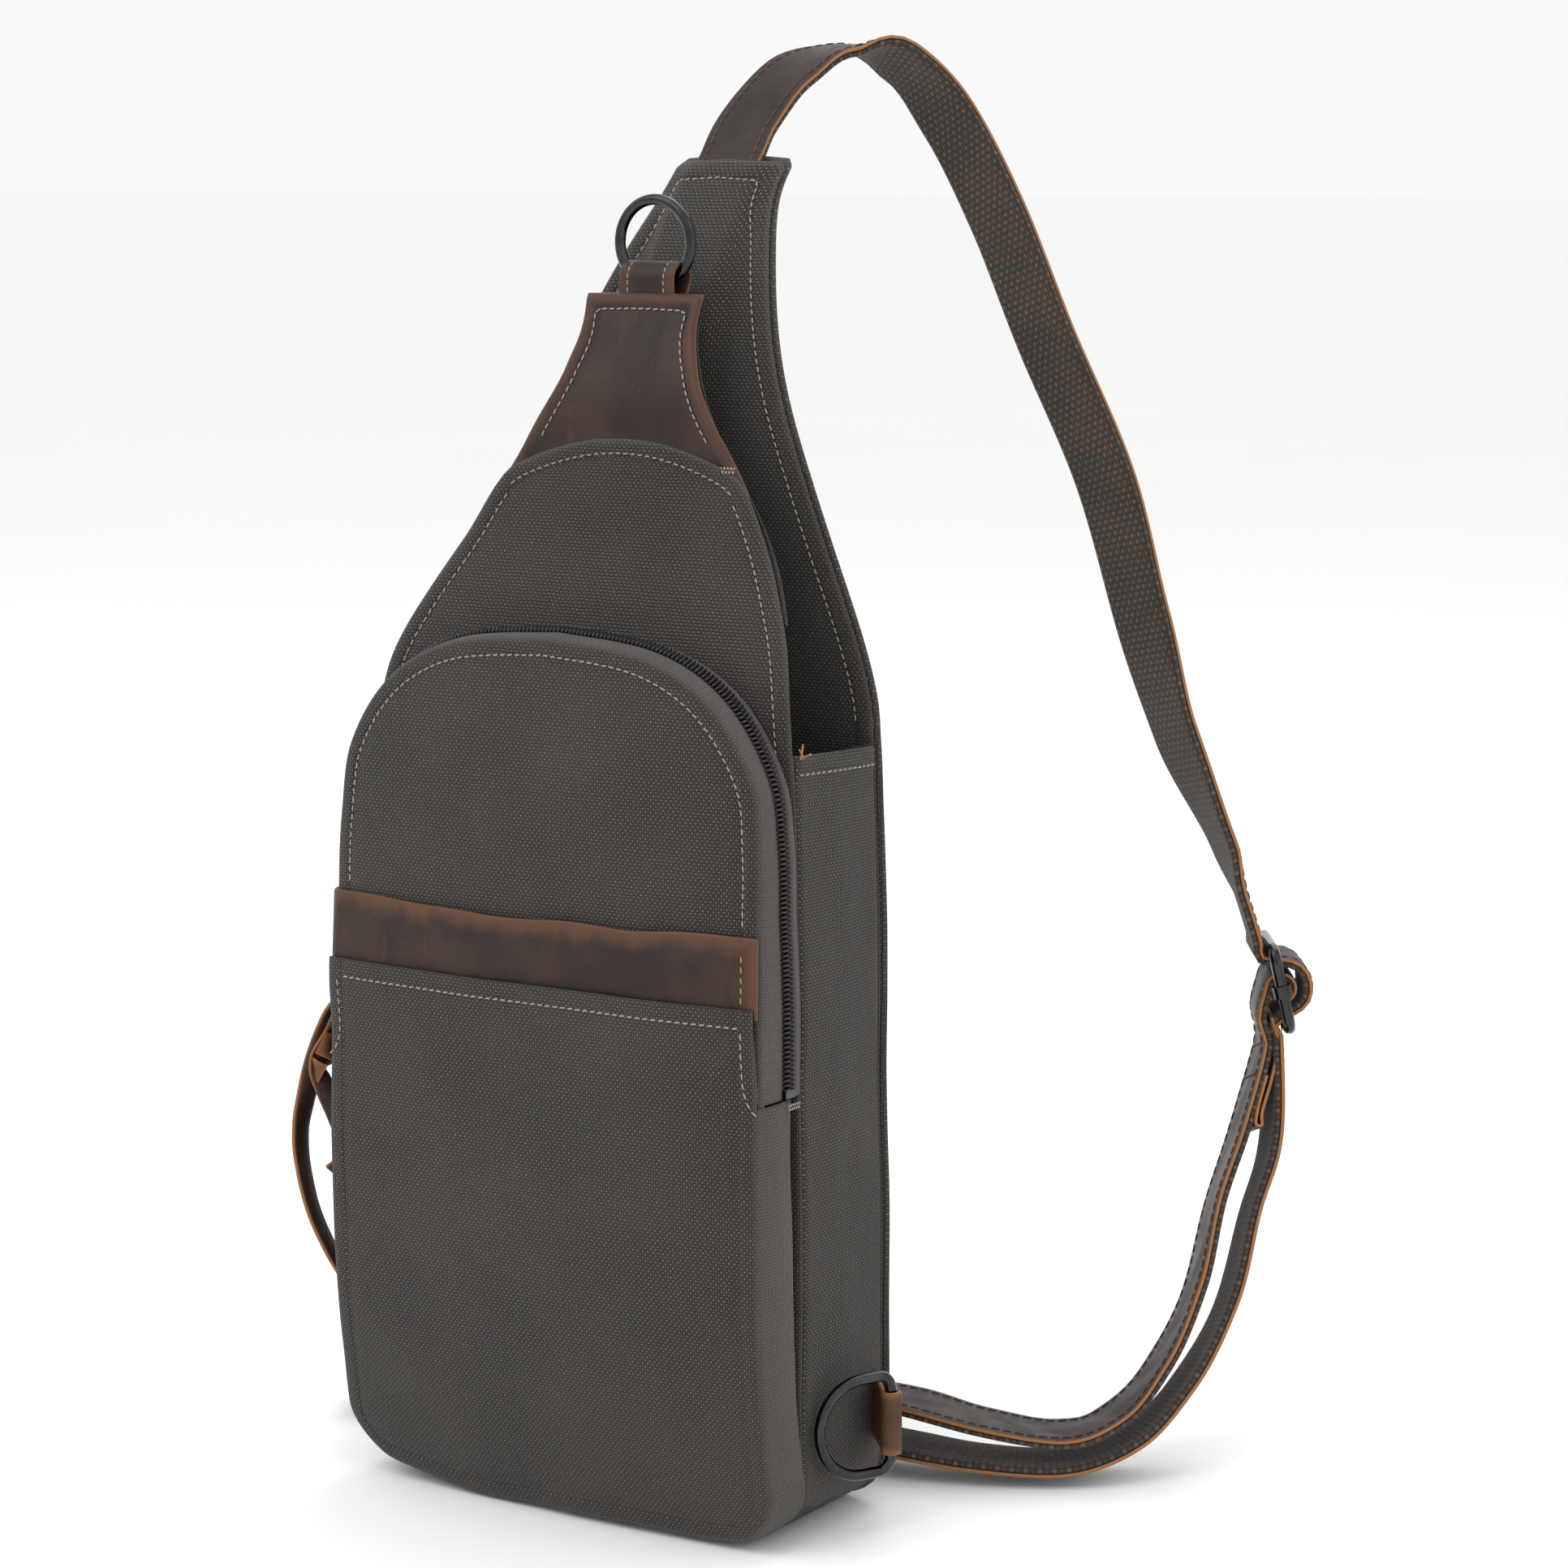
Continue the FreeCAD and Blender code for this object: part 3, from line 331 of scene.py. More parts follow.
def waxedCanvas():
    # heavy cotton canvas, waxed and washed: dark ground, pale rubbed yarn tops, dusty folds, and painted
    # shade in the hollows between the yarns
    material, tree = newMaterial("waxedCottonCanvas")
    uv = add(tree, "UVMap")
    where = add(tree, "TexCoord", out="Object")
    wander = add(tree, "TexNoise", {"Vector": uv, "Scale": 160.0}, "Color")
    bent = add(tree, "VectorMath", {0: wander, "Scale": 0.0006}, operation="SCALE")
    yarns = weave(tree, add(tree, "VectorMath", (uv, bent)), cloth["yarn"], cloth["yarn"] * cloth["stretch"])
    drawn = add(tree, "Mapping", {"Vector": uv, "Scale": (6, 1, 1)})
    slubs = add(tree, "TexNoise", {"Vector": drawn, "Scale": 1 / cloth["slub"], "Detail": 2.0})
    blotches = add(tree, "TexNoise", {"Vector": where, "Scale": 1 / (55 * mm), "Detail": 4.0})
    flecks = add(tree, "TexNoise", {"Vector": uv, "Scale": 1 / (1.1 * mm), "Detail": 2.0})
    # the near-black layer where the yarns lie low is painted shade between the yarns
    ground = layered(tree, "#2b2826", (blotches, 0.35, 0.68, 0.0, 1.0, "#383431"),
                     (slubs, 0.45, 0.8, 0.0, 0.35, "#403b37"), (yarns, 0.0, 0.3, 0.7, 0.0, "#100f0e"),
                     (yarns, 0.25, 0.85, 0.0, 0.85, "#5f5a54"))
    tops = add(tree, "MapRange", (yarns, 0.25, 0.85, 0.0, 0.6), **soft)
    pale = add(tree, "Math", (tops, add(tree, "MapRange", (flecks, 0.5, 0.75), **soft)), **times)
    ground = add(tree, "Mix", {0: pale, 6: ground, 7: "#8a847c"}, **mixed)
    rubbed = add(tree, "Attribute", out="Fac", attribute_name="wear")
    ground = layered(tree, ground, (rubbed, 0.2, 2.2, 0.28, 0.0, "#68625c"))
    height = add(tree, "Math", (slubs, 0.5, yarns), operation="MULTIPLY_ADD")
    surface(tree, ground, height, cloth["relief"], 1.0, {
        "Roughness": 0.86, "Specular IOR Level": 0.3, "Sheen Weight": 0.12, "Sheen Roughness": 0.5})
    return material


def oiledLeather(name, deep, mid, worn, wearWidth, rough, raw):
    # pull-up leather: dark oily face that goes lighter where it bends, with fine scuffs and raw edges
    material, tree = newMaterial(name)
    where = add(tree, "TexCoord", out="Object")
    rim = add(tree, "Attribute", out="Fac", attribute_name="wear")
    clouds = add(tree, "TexNoise", {"Vector": where, "Scale": 1 / (26 * mm), "Detail": 5.0})
    drawn = add(tree, "Mapping", {"Vector": where, "Scale": (1, 1, 0.25)})
    scuffs = add(tree, "TexNoise", {"Vector": drawn, "Scale": 1 / (9 * mm), "Detail": 6.0})
    uneven = add(tree, "Math", (scuffs, 0.5), operation="SUBTRACT")
    patchy = add(tree, "Math", (uneven, -wearWidth * 1.6, rim), operation="MULTIPLY_ADD")
    colour = layered(tree, deep, (clouds, 0.36, 0.66, 0.0, 1.0, mid), (scuffs, 0.62, 0.76, 0.0, 0.6, worn),
                     (patchy, 0.0, wearWidth * 1.3, 0.9, 0.0, worn), (rim, 0.05, 0.4, 1.0, 0.0, raw))
    pores = add(tree, "TexVoronoi", {"Vector": where, "Scale": 1 / (1.0 * mm)}, "Distance",
                feature="SMOOTH_F1")
    creases = add(tree, "TexNoise", {"Vector": where, "Scale": 1 / (5 * mm), "Detail": 5.0})
    height = add(tree, "Math", (pores, 0.5, creases), operation="MULTIPLY_ADD")
    surface(tree, colour, height, 0.22 * mm, 0.6, {
        "Roughness": add(tree, "MapRange", (scuffs, 0.3, 0.8, rough - 0.07, rough + 0.16), **soft),
        "Specular IOR Level": 0.26})
    return material


def ribbedWebbing():
    # cotton webbing: coarse weave with short raised bars in rows across the strap, with painted shade between
    # the bars
    material, tree = newMaterial("ribbedCottonWebbing")
    uv = add(tree, "UVMap")
    bars = weave(tree, uv, 1.5 * mm, 2.3 * mm)
    fine = add(tree, "TexNoise", {"Vector": uv, "Scale": 1 / (0.9 * mm), "Detail": 2.0})
    clouds = add(tree, "TexNoise", {"Vector": uv, "Scale": 1 / (30 * mm), "Detail": 3.0})
    # the dark layer where the bars lie low is painted shade between them
    colour = layered(tree, "#43382f", (clouds, 0.35, 0.65, 0.0, 1.0, "#504439"),
                     (bars, 0.1, 0.6, 0.7, 0.0, "#211b17"))
    tops = [add(tree, "MapRange", reach, **soft) for reach in ((bars, 0.6, 1.0), (fine, 0.4, 0.7))]
    colour = add(tree, "Mix", {0: add(tree, "Math", tops, **times), 6: colour, 7: "#74675a"}, **mixed)
    surface(tree, colour, bars, 0.55 * mm, 1.0, {
        "Roughness": 0.85, "Specular IOR Level": 0.3, "Sheen Weight": 0.15})
    return material


def zipTape():
    # woven polyester tape: fine herringbone, slightly shiny grey-brown
    material, tree = newMaterial("herringboneZipTape")
    across, along = (add(tree, "SeparateXYZ", (add(tree, "UVMap"),), k) for k in (0, 1))
    fold = add(tree, "Math", (along, 1.6 * mm), operation="PINGPONG")
    slant = add(tree, "Math", (across, fold), operation="ADD")
    turn = add(tree, "Math", (slant, 2 * math.pi / (1.0 * mm)), **times)
    twill = add(tree, "Math", (turn,), operation="SINE")
    colour = layered(tree, "#2e2827", (twill, -0.8, 0.9, 0.0, 1.0, "#564c4a"))
    surface(tree, colour, twill, 0.15 * mm, 0.8, {"Roughness": 0.7, "Sheen Weight": 0.1})
    return material


def spunThread(name, code):
    # waxed polyester thread: twisted plies catch the light in short slanted strokes
    material, tree = newMaterial(name)
    where = add(tree, "TexCoord", out="Object")
    plies = add(tree, "TexWave", {"Vector": where, "Scale": 1 / (1.2 * mm), "Distortion": 2.0}, 1)
    dark = tuple(c * 0.5 for c in linear(code)[:3]) + (1.0,)
    colour = add(tree, "Mix", {0: plies, 6: dark, 7: code}, **mixed)
    surface(tree, colour, plies, 0.08 * mm, 0.5, {"Roughness": 0.6})
    return material


def blackNickel():
    # plated zinc wire: dark mirror with faint handling haze
    material, tree = newMaterial("blackNickelPlate")
    where = add(tree, "TexCoord", out="Object")
    haze = add(tree, "TexNoise", {"Vector": where, "Scale": 1 / (7 * mm), "Detail": 4.0})
    colour = layered(tree, "#1f1e20", (haze, 0.3, 0.7, 0.0, 1.0, "#343232"))
    surface(tree, colour, haze, 0.03 * mm, 0.3, {
        "Metallic": 1.0, "Coat Weight": 0.6, "Coat Roughness": 0.04,
        "Roughness": add(tree, "MapRange", (haze, 0.3, 0.75, 0.09, 0.18), **soft)})
    return material


def mouldedNylon(name, dark, light, rough, size):
    # moulded nylon: even dark plastic with a soft shine and a little flow mottling
    material, tree = newMaterial(name)
    where = add(tree, "TexCoord", out="Object")
    mottle = add(tree, "TexNoise", {"Vector": where, "Scale": 1 / size, "Detail": 3.0})
    colour = layered(tree, dark, (mottle, 0.3, 0.7, 0.0, 1.0, light))
    surface(tree, colour, mottle, 0.05 * mm, 0.5, {"Roughness": rough})
    return material


def airMesh():
    # spacer mesh over foam: rows of small round holes in black knit, the holes painted darker as shade
    material, tree = newMaterial("blackAirMesh")
    where = add(tree, "TexCoord", out="Object")
    cells = add(tree, "TexVoronoi", {"Vector": where, "Scale": 1 / (2.6 * mm), "Randomness": 0.25},
                "Distance")
    holes = add(tree, "MapRange", (cells, 0.18, 0.42), **soft)
    # the darkest tone at the hole centres is painted shade inside the holes
    colour = add(tree, "Mix", {0: holes, 6: "#040405", 7: "#161719"}, **mixed)
    surface(tree, colour, holes, 0.7 * mm, 1.0, {"Roughness": 0.8, "Sheen Weight": 0.2})
    return material


def liningCloth():
    # plain woven polyester lining: dark, fine, slightly shiny, its threads painted darker where they lie low,
    # as shade between them
    material, tree = newMaterial("polyesterLining")
    where = add(tree, "TexCoord", out="Object")
    spot = add(tree, "Mapping", {"Vector": where, "Rotation": (0.0, 0.6, 0.7)})
    threads = weave(tree, spot, 0.9 * mm, 0.9 * mm)
    # thread height drives the colour: low spots take the darker tone as painted shade
    colour = add(tree, "Mix", {0: threads, 6: "#161514", 7: "#2c2a29"}, **mixed)
    surface(tree, colour, threads, 0.12 * mm, 0.7, {"Roughness": 0.6})
    return material


def paleFloor():
    # painted studio floor: near white and matt, with faint clouds
    material, tree = newMaterial("paleStudioFloor")
    where = add(tree, "TexCoord", out="Object")
    clouds = add(tree, "TexNoise", {"Vector": where, "Scale": 2.0, "Detail": 2.0})
    colour = add(tree, "Mix", {0: clouds, 6: "#fbfbfa", 7: "#fefefe"}, **mixed)
    setInputs(tree, tree.nodes["Principled BSDF"], {"Base Color": colour, "Roughness": 0.9})
    return material


addCamera()
addLights()
canvas = waxedCanvas()
thongLeather = oiledLeather("darkThongLeather", "#2a1c17", "#3a2620", "#5a3a29", 0.8, 0.36, "#8a5c38")
tabLeather = oiledLeather("wornTabLeather", "#422a1e", "#5a3b2a", "#7a5335", 2.6, 0.5, "#96653a")
strapLeather = oiledLeather("smoothStrapLeather", "#241d1b", "#312825", "#4d3b30", 0.8, 0.46, "#96653a")
webbing = ribbedWebbing()
tape = zipTape()
paleThread = spunThread("paleSewingThread", "#a8a096")
darkThread = spunThread("brownSewingThread", "#5a3a24")
tanThread = spunThread("tanThreadEnds", "#b98a5a")
nickel = blackNickel()
coilNylon = mouldedNylon("spiralNylonCoil", "#131211", "#262321", 0.42, 3 * mm)
padMesh = airMesh()
lining = liningCloth()
print("materials made")


# outlines in the front plane, right half from the bottom middle to the top middle
def sideAt(z):  # half width of the straight sides and rounded bottom corners
    if z < bag["corner"]:
        drop = bag["corner"] - z
        return bag["half"] - bag["corner"] + math.sqrt(max(bag["corner"] ** 2 - drop ** 2, 0))
    return bag["half"] - bag["taper"] * (z - bag["corner"]) / (bag["hem"] - bag["corner"])


def footPoints():  # bottom edge and the rounded right corner
    made = [Vector((0, 0)), Vector((bag["half"] - bag["corner"], 0))]
    for k in range(1, 9):
        turn = math.pi / 2 * k / 8
        made.append(Vector((bag["half"] - bag["corner"] * (1 - math.sin(turn)),
                            bag["corner"] * (1 - math.cos(turn)))))
    return made


def bothSides(right):  # a line and its mirror image, joined at the line's end
    return right + [Vector((-p.x, p.y)) for p in reversed(right)][1:]


def closedOutline(rightSide, count):
    return evenly(bothSides(rightSide), count)[:-1]


flanks = {  # points above the straight sides, millimetres across and up
    "back": [(87, 240), (86, 266), (82, 289), (63, 340), (46, 383), (31.5, 424), (24, 446), (22.5, 459)],
    "flap": [(87, 240), (86, 268), (79, 300), (58, 340), (50.5, 352)],
    "patch": [(52, 349), (32, 380), (26, 394), (23.6, 405), (24.2, 415)],
    "pocket": [(86.9, 215), (86.5, 238), (83, 262), (66, 286), (39, 300), (0, 304)],
}


def flankLine(name, steps=10):
    return smoothLine([(x * mm, z * mm) for x, z in flanks[name]], steps)


class Panel:
    # a sheet spanned inside a closed outline: rings of the border first, then rings that close on a spine
    def __init__(self, outline, borders, spine, inner=14):
        self.outline = outline
        self.count = len(outline)
        self.borders = borders
        self.spine = spine
        self.inner = inner
        self.inward = []
        for i in range(self.count):
            along = outline[(i + 1) % self.count] - outline[i - 1]
            self.inward.append(Vector((-along.y, along.x)).normalized())
        self.mitre(24 * mm)

    def mitre(self, reach):
        # near a sharp corner the rings lean toward the line that halves it, so they never cross
        line, count = self.outline, self.count
        turns = []
        for i in range(count):
            first, second = line[i] - line[i - 2], line[(i + 2) % count] - line[i]
            turns.append(math.atan2(first.x * second.y - first.y * second.x, first.dot(second)))
        for c in range(count):
            size = abs(turns[c])
            if size < 0.55 or size < max(abs(turns[(c + k) % count]) for k in range(-4, 5)):
                continue
            for side in (-1, 1):
                away = (line[(c + side * 6) % count] - line[(c + side * 2) % count]).normalized()
                inward = Vector((-away.y, away.x)) * side
                for k in range(count // 4):
                    i = (c + side * k) % count
                    gap = (line[i] - line[c]).length
                    if gap > reach:
                        break
                    straight = inward if k < 4 else self.inward[i]
                    self.inward[i] = straight + away * math.tan(turns[c] / 2) * (1 - gap / reach)

    def spot(self, i, inset):
        i = i % self.count
        return self.outline[i] + self.inward[i] * inset

    def ring(self, i, j):  # place in the front plane, and how far behind the face it is
        inset, behind = self.borders[min(j, len(self.borders) - 1)]
        point = self.spot(i, inset)
        if j >= len(self.borders):
            share = (j - len(self.borders) + 1) / self.inner
            low, high = self.spine
            point = point.lerp(Vector((0, min(max(point.y, low), high))), share)
        return point, behind, inset

    def build(self, name, depth, flip=False):
        rows = len(self.borders) - 1 + self.inner
        columns = self.count

        def look(u, v):
            return self.ring(round(u * columns), round(v * rows))

        def place(u, v):
            point, behind, inset = look(1 - u if flip else u, v)
            return settle(point.x, depth(point.x, point.y) + behind, point.y)

        def flat(u, v):  # the cloth's own plane, unrolled where the edge turns back
            point, behind, inset = look(1 - u if flip else u, v)
            point = point - self.inward[round(u * columns) % columns] * max(behind, 0)
            return point.x, point.y

        def wear(u, v):
            point, behind, inset = look(1 - u if flip else u, v)
            return inset / mm if round(v * rows) < len(self.borders) else 99.0

        return shapedGrid(name, columns, rows, place, flat, wear)


sag = {"dent": 1.0 * mm, "bow": 0.8 * mm, "wave": 0.9 * mm, "corners": 2.6 * mm,
       "leftCorner": 3.4 * mm, "hem": 1.5 * mm}


def settle(x, y, z):
    # the bag sags a little: corners of the base lift, sides bow and dent
    low = 1 - between(0, 60 * mm, z)
    side = abs(x) / bag["half"]
    x += sag["dent"] * ripple(y, z, 45 * mm, 3.1) * side
    x += sag["bow"] * math.copysign(1, x) * math.sin(math.pi * min(z / bag["hem"], 1)) * side ** 4
    y += sag["wave"] * ripple(x, z, 50 * mm, 7.7) * (1 if z < 0.35 else 0.4)
    lean = between(0, bag["half"], -x)  # the left corner stands a little higher
    hem = sag["hem"] * (1 + ripple(x, y, 34 * mm, 1.3))
    z += low * (sag["corners"] * side ** 4 + sag["leftCorner"] * lean ** 2 + hem)
    return Vector((x, y, max(z, 0.4 * mm)))


# stitches and other repeated small things
random.seed(7)


def bead(length, width, height):  # one stitch or one turn of the zip coil, lying along X
    deselectAll()
    bpy.ops.mesh.primitive_uv_sphere_add(segments=8, ring_count=5, radius=0.5)
    made = bpy.context.object
    editMesh("SELECT")
    bpy.ops.transform.rotate(value=math.pi / 2, orient_axis="Y", center_override=(0, 0, 0))
    bpy.ops.transform.resize(value=(length, width, height))
    bpy.ops.object.mode_set(mode="OBJECT")
    for point in made.data.vertices:  # blunt ends, so that it reads as a short length of thread
        share = point.co.x / (length / 2)
        point.co.x = length / 2 * math.copysign(abs(share) ** 0.6, share)
    return made


def copies(name, model, matrices):
    built = bmesh.new()
    for matrix in matrices:
        copy = model.data.copy()
        copy.transform(matrix)
        built.from_mesh(copy)
        bpy.data.meshes.remove(copy)
    joined = bpy.data.meshes.new(name)
    built.to_mesh(joined)
    built.free()
    piece = bpy.data.objects.new(name, joined)
    bpy.context.collection.objects.link(piece)
    bpy.data.objects.remove(model)
    for face in joined.polygons:
        face.use_smooth = True
    return piece


def turned(point, along, up):  # matrix whose X runs along the seam and whose Z points off the cloth
    along = along.normalized()
    across = up.cross(along).normalized()
    up = along.cross(across)
    return Matrix.Translation(point) @ Matrix((along, across, up)).transposed().to_4x4()


def stitchRow(name, line, outward, pitch=3.0 * mm, width=0.62 * mm, sink=0.1 * mm):
    count = max(int(lengthOf(line) / pitch), 2)
    points = evenly(line, count)
    model = bead(pitch * 0.74, width, width * 0.8)
    places = []
    for k in range(count):
        middle = (points[k] + points[k + 1]) / 2
        along = points[k + 1] - points[k]
        up = outward(k / count, middle)
        middle += up * (width * 0.35 - sink)
        slant = Matrix.Rotation(random.uniform(0.02, 0.16), 4, "Z")
        places.append(turned(middle, along, up) @ slant)
    return copies(name, model, places)


def front(share, point):
    return Vector((0, -1, 0))


# depth of each sheet
tip = {"rise": 109 * mm, "lean": 45 * mm}  # the tip bends back this much over this height
tipStart = bag["top"] - tip["rise"]
tipBend = (tip["rise"] ** 2 + tip["lean"] ** 2) / (2 * tip["lean"])


def leanBack(x, z):  # front face of the back panel, which leans back at the tip
    if z <= tipStart:
        return bag["back"]
    return bag["back"] + tipBend - math.sqrt(tipBend ** 2 - (z - tipStart) ** 2)


flapRise = [(0, 0), (262, 0), (270, 0.3), (289, 3), (311, 12), (331, 21), (355, 26), (380, 29), (402, 36),
            (418, 42)]
pocketSwell = [(0, 7), (22, 1), (60, -3.6), (115, -6), (180, -4.8), (240, -1.8), (308, 3)]
flapDepths = [(z * mm, y * mm) for z, y in flapRise]
pocketDepths = [(z * mm, y * mm) for z, y in pocketSwell]
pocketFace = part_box("pocket_panel")[0].y + 6 * mm


def flapDepth(x, z):
    return bag["front"] + throughPoints(flapDepths, z)


def pocketDepth(x, z):
    side = abs(x) / bag["half"]
    wavy = 0.7 * mm * ripple(x, z, 30 * mm, 2.2)
    return pocketFace + throughPoints(pocketDepths, z) + 3.5 * mm * side ** 3 + wavy


def rings(*pairs):  # distance in from the edge and depth behind the face, both given in millimetres
    return [(inset * mm, behind * mm) for inset, behind in pairs]


hemRings = rings((0, 0.5), (0.6, 0), (3, -0.35), (5.4, -0.25), (6.3, 0.4), (7.2, 0.1), (11, 0))


def seamLine(panel, inset, depth, first, last, lift=0.0):  # a stitch line inside a panel's border
    made = []
    for i in range(round(first * panel.count), round(last * panel.count) + 1):
        point = panel.spot(i, inset)
        made.append(settle(point.x, depth(point.x, point.y) - lift, point.y))
    return made


# canvas body
def backFrontDepth(x, z):  # front layer of the back panel: it swells over the strap's end at the tip
    swell = between(352 * mm, 408 * mm, z) * (1 - between(13 * mm, 22 * mm, abs(x)))
    return leanBack(x, z) - 1.3 * mm - 4.6 * mm * swell


topMiddle = Vector((0, bag["top"] + 1.5 * mm))
backOutline = closedOutline(footPoints() + flankLine("back") + [topMiddle], 330)
backSheet = Panel(backOutline, hemRings, (70 * mm, 440 * mm))
backFront = thicken(backSheet.build("backPanelFront", backFrontDepth), bag["canvas"])
finishPiece(backFront, canvas, "bag", ["strap_sleeve"])
backRear = thicken(backSheet.build("backPanelRear", lambda x, z: leanBack(x, z) + 3 * mm, flip=True),
                   bag["canvas"])
finishPiece(backRear, canvas, "bag", ["back_panel"])

archOver = [(50.5, 352), (45, 356.5), (31, 362), (14, 366), (0, 367)]
archTop = smoothLine([(x * mm, z * mm) for x, z in archOver], 8)
frontOutline = closedOutline(footPoints() + flankLine("flap") + archTop, 320)
frontSheet = Panel(frontOutline, hemRings, (70 * mm, 330 * mm))
frontPanel = thicken(frontSheet.build("frontPanel", flapDepth), bag["canvas"])
frontPanel.data.materials.append(canvas)
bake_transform(frontPanel)
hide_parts("front_panel", "flap_panel")
print("back and front panels made")


gussetShape = {"columns": 330, "rows": 22, "round": 2.6 * mm, "hemWidth": 8 * mm}
bandTop = [Vector((sideAt(z), z)) for z in (bag["hem"], 150 * mm)]
bandRight = bandTop + footPoints()[::-1]
bandPath = evenly(bothSides(bandRight), gussetShape["columns"])
bandLength = lengthOf(bandPath)
bandDepth = bag["back"] - bag["front"]


def bandSpot(u, v):
    # u runs down the right side, along the base and up the left side, v from front to back
    i = round(u * gussetShape["columns"])
    point = bandPath[i]
    along = bandPath[min(i + 1, len(bandPath) - 1)] - bandPath[max(i - 1, 0)]
    out = Vector((-along.y, along.x)).normalized()
    edge = min(v, 1 - v) * bandDepth
    drop = max(gussetShape["round"] - edge, 0)
    turn = gussetShape["round"] - math.sqrt(max(gussetShape["round"] ** 2 - drop ** 2, 0))
    swell = 1.3 * mm * math.sin(math.pi * v) * between(0, 60 * mm, point.y)
    fromHem = bag["hem"] - point.y
    hem = 0.35 * mm * (1 - between(7 * mm, 8.5 * mm, fromHem))
    dent = 0.7 * mm * ripple(v * bandDepth * 1.6, point.y, 22 * mm, 5.5 + math.copysign(2, point.x))
    point = point + out * (swell + hem + dent * math.sin(math.pi * v) - turn)
    droop = 2.6 * mm * v * between(bag["hem"] - 60 * mm, bag["hem"], point.y)
    return settle(point.x, bag["front"] + v * bandDepth, point.y - droop)


gusset = shapedGrid("gussetBand", gussetShape["columns"], gussetShape["rows"], bandSpot,
                    lambda u, v: (v * bandDepth, u * bandLength))
thicken(gusset, bag["canvas"])
finishPiece(gusset, canvas, "bag", ["gusset"])


# front pocket
turnRings = []
for k in range(4):
    angle = math.pi / 2 * k / 4
    turnRings.append((bag["pocketRound"] * (1 - math.cos(angle)), bag["pocketRound"] * (1 - math.sin(angle))))
faceRings = [(bag["pocketRound"], 0)] + rings((4.0, -0.3), (5.3, -0.15), (6.1, 0.4), (7.0, 0.05),
                                              (11, -0.1), (15, 0))
pocketOutline = closedOutline(footPoints() + flankLine("pocket"), 330)
pocketSheet = Panel(pocketOutline, [(0, 3.6 * mm)] + turnRings + faceRings, (60 * mm, 240 * mm))
pocketFront = thicken(pocketSheet.build("pocketFront", pocketDepth), bag["canvas"])
finishPiece(pocketFront, canvas, "bag", ["pocket_panel"])

slipLift = 1.5 * mm  # the slip pocket lies this far in front of the pocket


def slipDepth(x, z):
    over = 1.9 * mm * between(158 * mm, 186 * mm, z)  # it passes over the leather band
    sagging = 0.8 * mm * between(120 * mm, 188 * mm, z) * (1 - (x / bag["half"]) ** 2)
    return pocketDepth(x, z) - slipLift - over - sagging


sideRings = []
for share in (1.0, 0.8, 0.6, 0.42, 0.24, 0.1):
    behind = share * (bag["front"] - pocketFace - 5 * mm)
    sideRings.append((-0.5 * mm - 1.2 * mm * math.sin(math.pi * share), bag["pocketRound"] + behind))
slipFaceRings = [(bag["pocketRound"], 0)] + rings((5.4, -0.2), (6.4, 0.25), (7.4, 0), (11, 0))
slipSheet = Panel(pocketOutline, sideRings + [(inset - 0.5 * mm, behind) for inset, behind in turnRings]
                  + slipFaceRings, (60 * mm, 240 * mm), 20)
slipPocket = slipSheet.build("slipPocket", slipDepth)
cutAway(slipPocket, (0, 0, bag["slipHem"]), (0, 0, 1), lambda c: True)
for side in (-1, 1):
    cutAway(slipPocket, (side * 87.9 * mm, 0, 172 * mm), (side, 0, 0.03),
            lambda c: c.x * side > 70 * mm and c.z > 157.5 * mm)
thicken(slipPocket, 1.3 * mm)
finishPiece(slipPocket, canvas, "bag", ["slip_pocket", "pocket_side"])
print("pocket made")

band = {"low": 184.5 * mm, "high": 211.5 * mm, "left": -(89 + 8) * mm, "right": 87.2 * mm, "lift": 0.1 * mm}
bandColumns, bandRows = 120, 12


def bandPlace(u, v):
    across = band["left"] + (band["right"] - band["left"]) * u
    wavy = 0.9 * mm * ripple(across, 0, 26 * mm, 9.1) + 1.5 * mm * math.sin(math.pi * u) ** 2
    z = band["low"] + (band["high"] - wavy - band["low"]) * v
    bow = 0.9 * mm * between(bag["slipHem"], band["high"], z) * math.sin(math.pi * min(max(u, 0), 1))
    edgeX = sideAt(z)
    start = edgeX - bag["pocketRound"]
    turn = max(-across - start, 0) / bag["pocketRound"]
    if turn <= 0:
        return settle(across, pocketDepth(across, z) - band["lift"] - bag["leather"] - bow, z)
    angle = min(turn, math.pi / 2)
    further = max(turn - math.pi / 2, 0) * bag["pocketRound"]
    reach = bag["pocketRound"] + bag["leather"]
    x = -start - reach * math.sin(angle)
    y = pocketDepth(x, z) - band["lift"] - bag["leather"] + reach * (1 - math.cos(angle)) + further
    return settle(x, y, z)


def bandWear(u, v):
    top = (1 - v) * (band["high"] - band["low"])
    side = (1 - u) * (band["right"] - band["left"])
    return min(top, side) / mm


leatherBand = shapedGrid("leatherBand", bandColumns, bandRows, bandPlace,
                         lambda u, v: (u * (band["right"] - band["left"]), v * 30 * mm), bandWear)
thicken(leatherBand, bag["leather"])
bandLeather = oiledLeather("oiledBandLeather", "#261b18", "#35261f", "#5a3d2b", 6.0, 0.42, "#5f4230")
finishPiece(leatherBand, bandLeather, "bag", ["leather_band"])


# zip: two tapes and the coil, all along the pocket's arch
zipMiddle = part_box("zip_teeth")
zipY = (zipMiddle[0].y + zipMiddle[1].y) / 2
archRight = [Vector((sideAt(z * mm), z * mm)) for z in range(156, 212, 8)] + flankLine("pocket")
archSteps = 260
archLine = evenly(bothSides(archRight), archSteps)
archLength = lengthOf(archLine)


def archSpot(share, out, y):
    i = min(max(round(share * archSteps), 0), archSteps)
    along = archLine[min(i + 1, archSteps)] - archLine[max(i - 1, 0)]
    off = Vector((along.y, -along.x)).normalized()
    point = archLine[i] + off * out
    return settle(point.x, y, point.y)


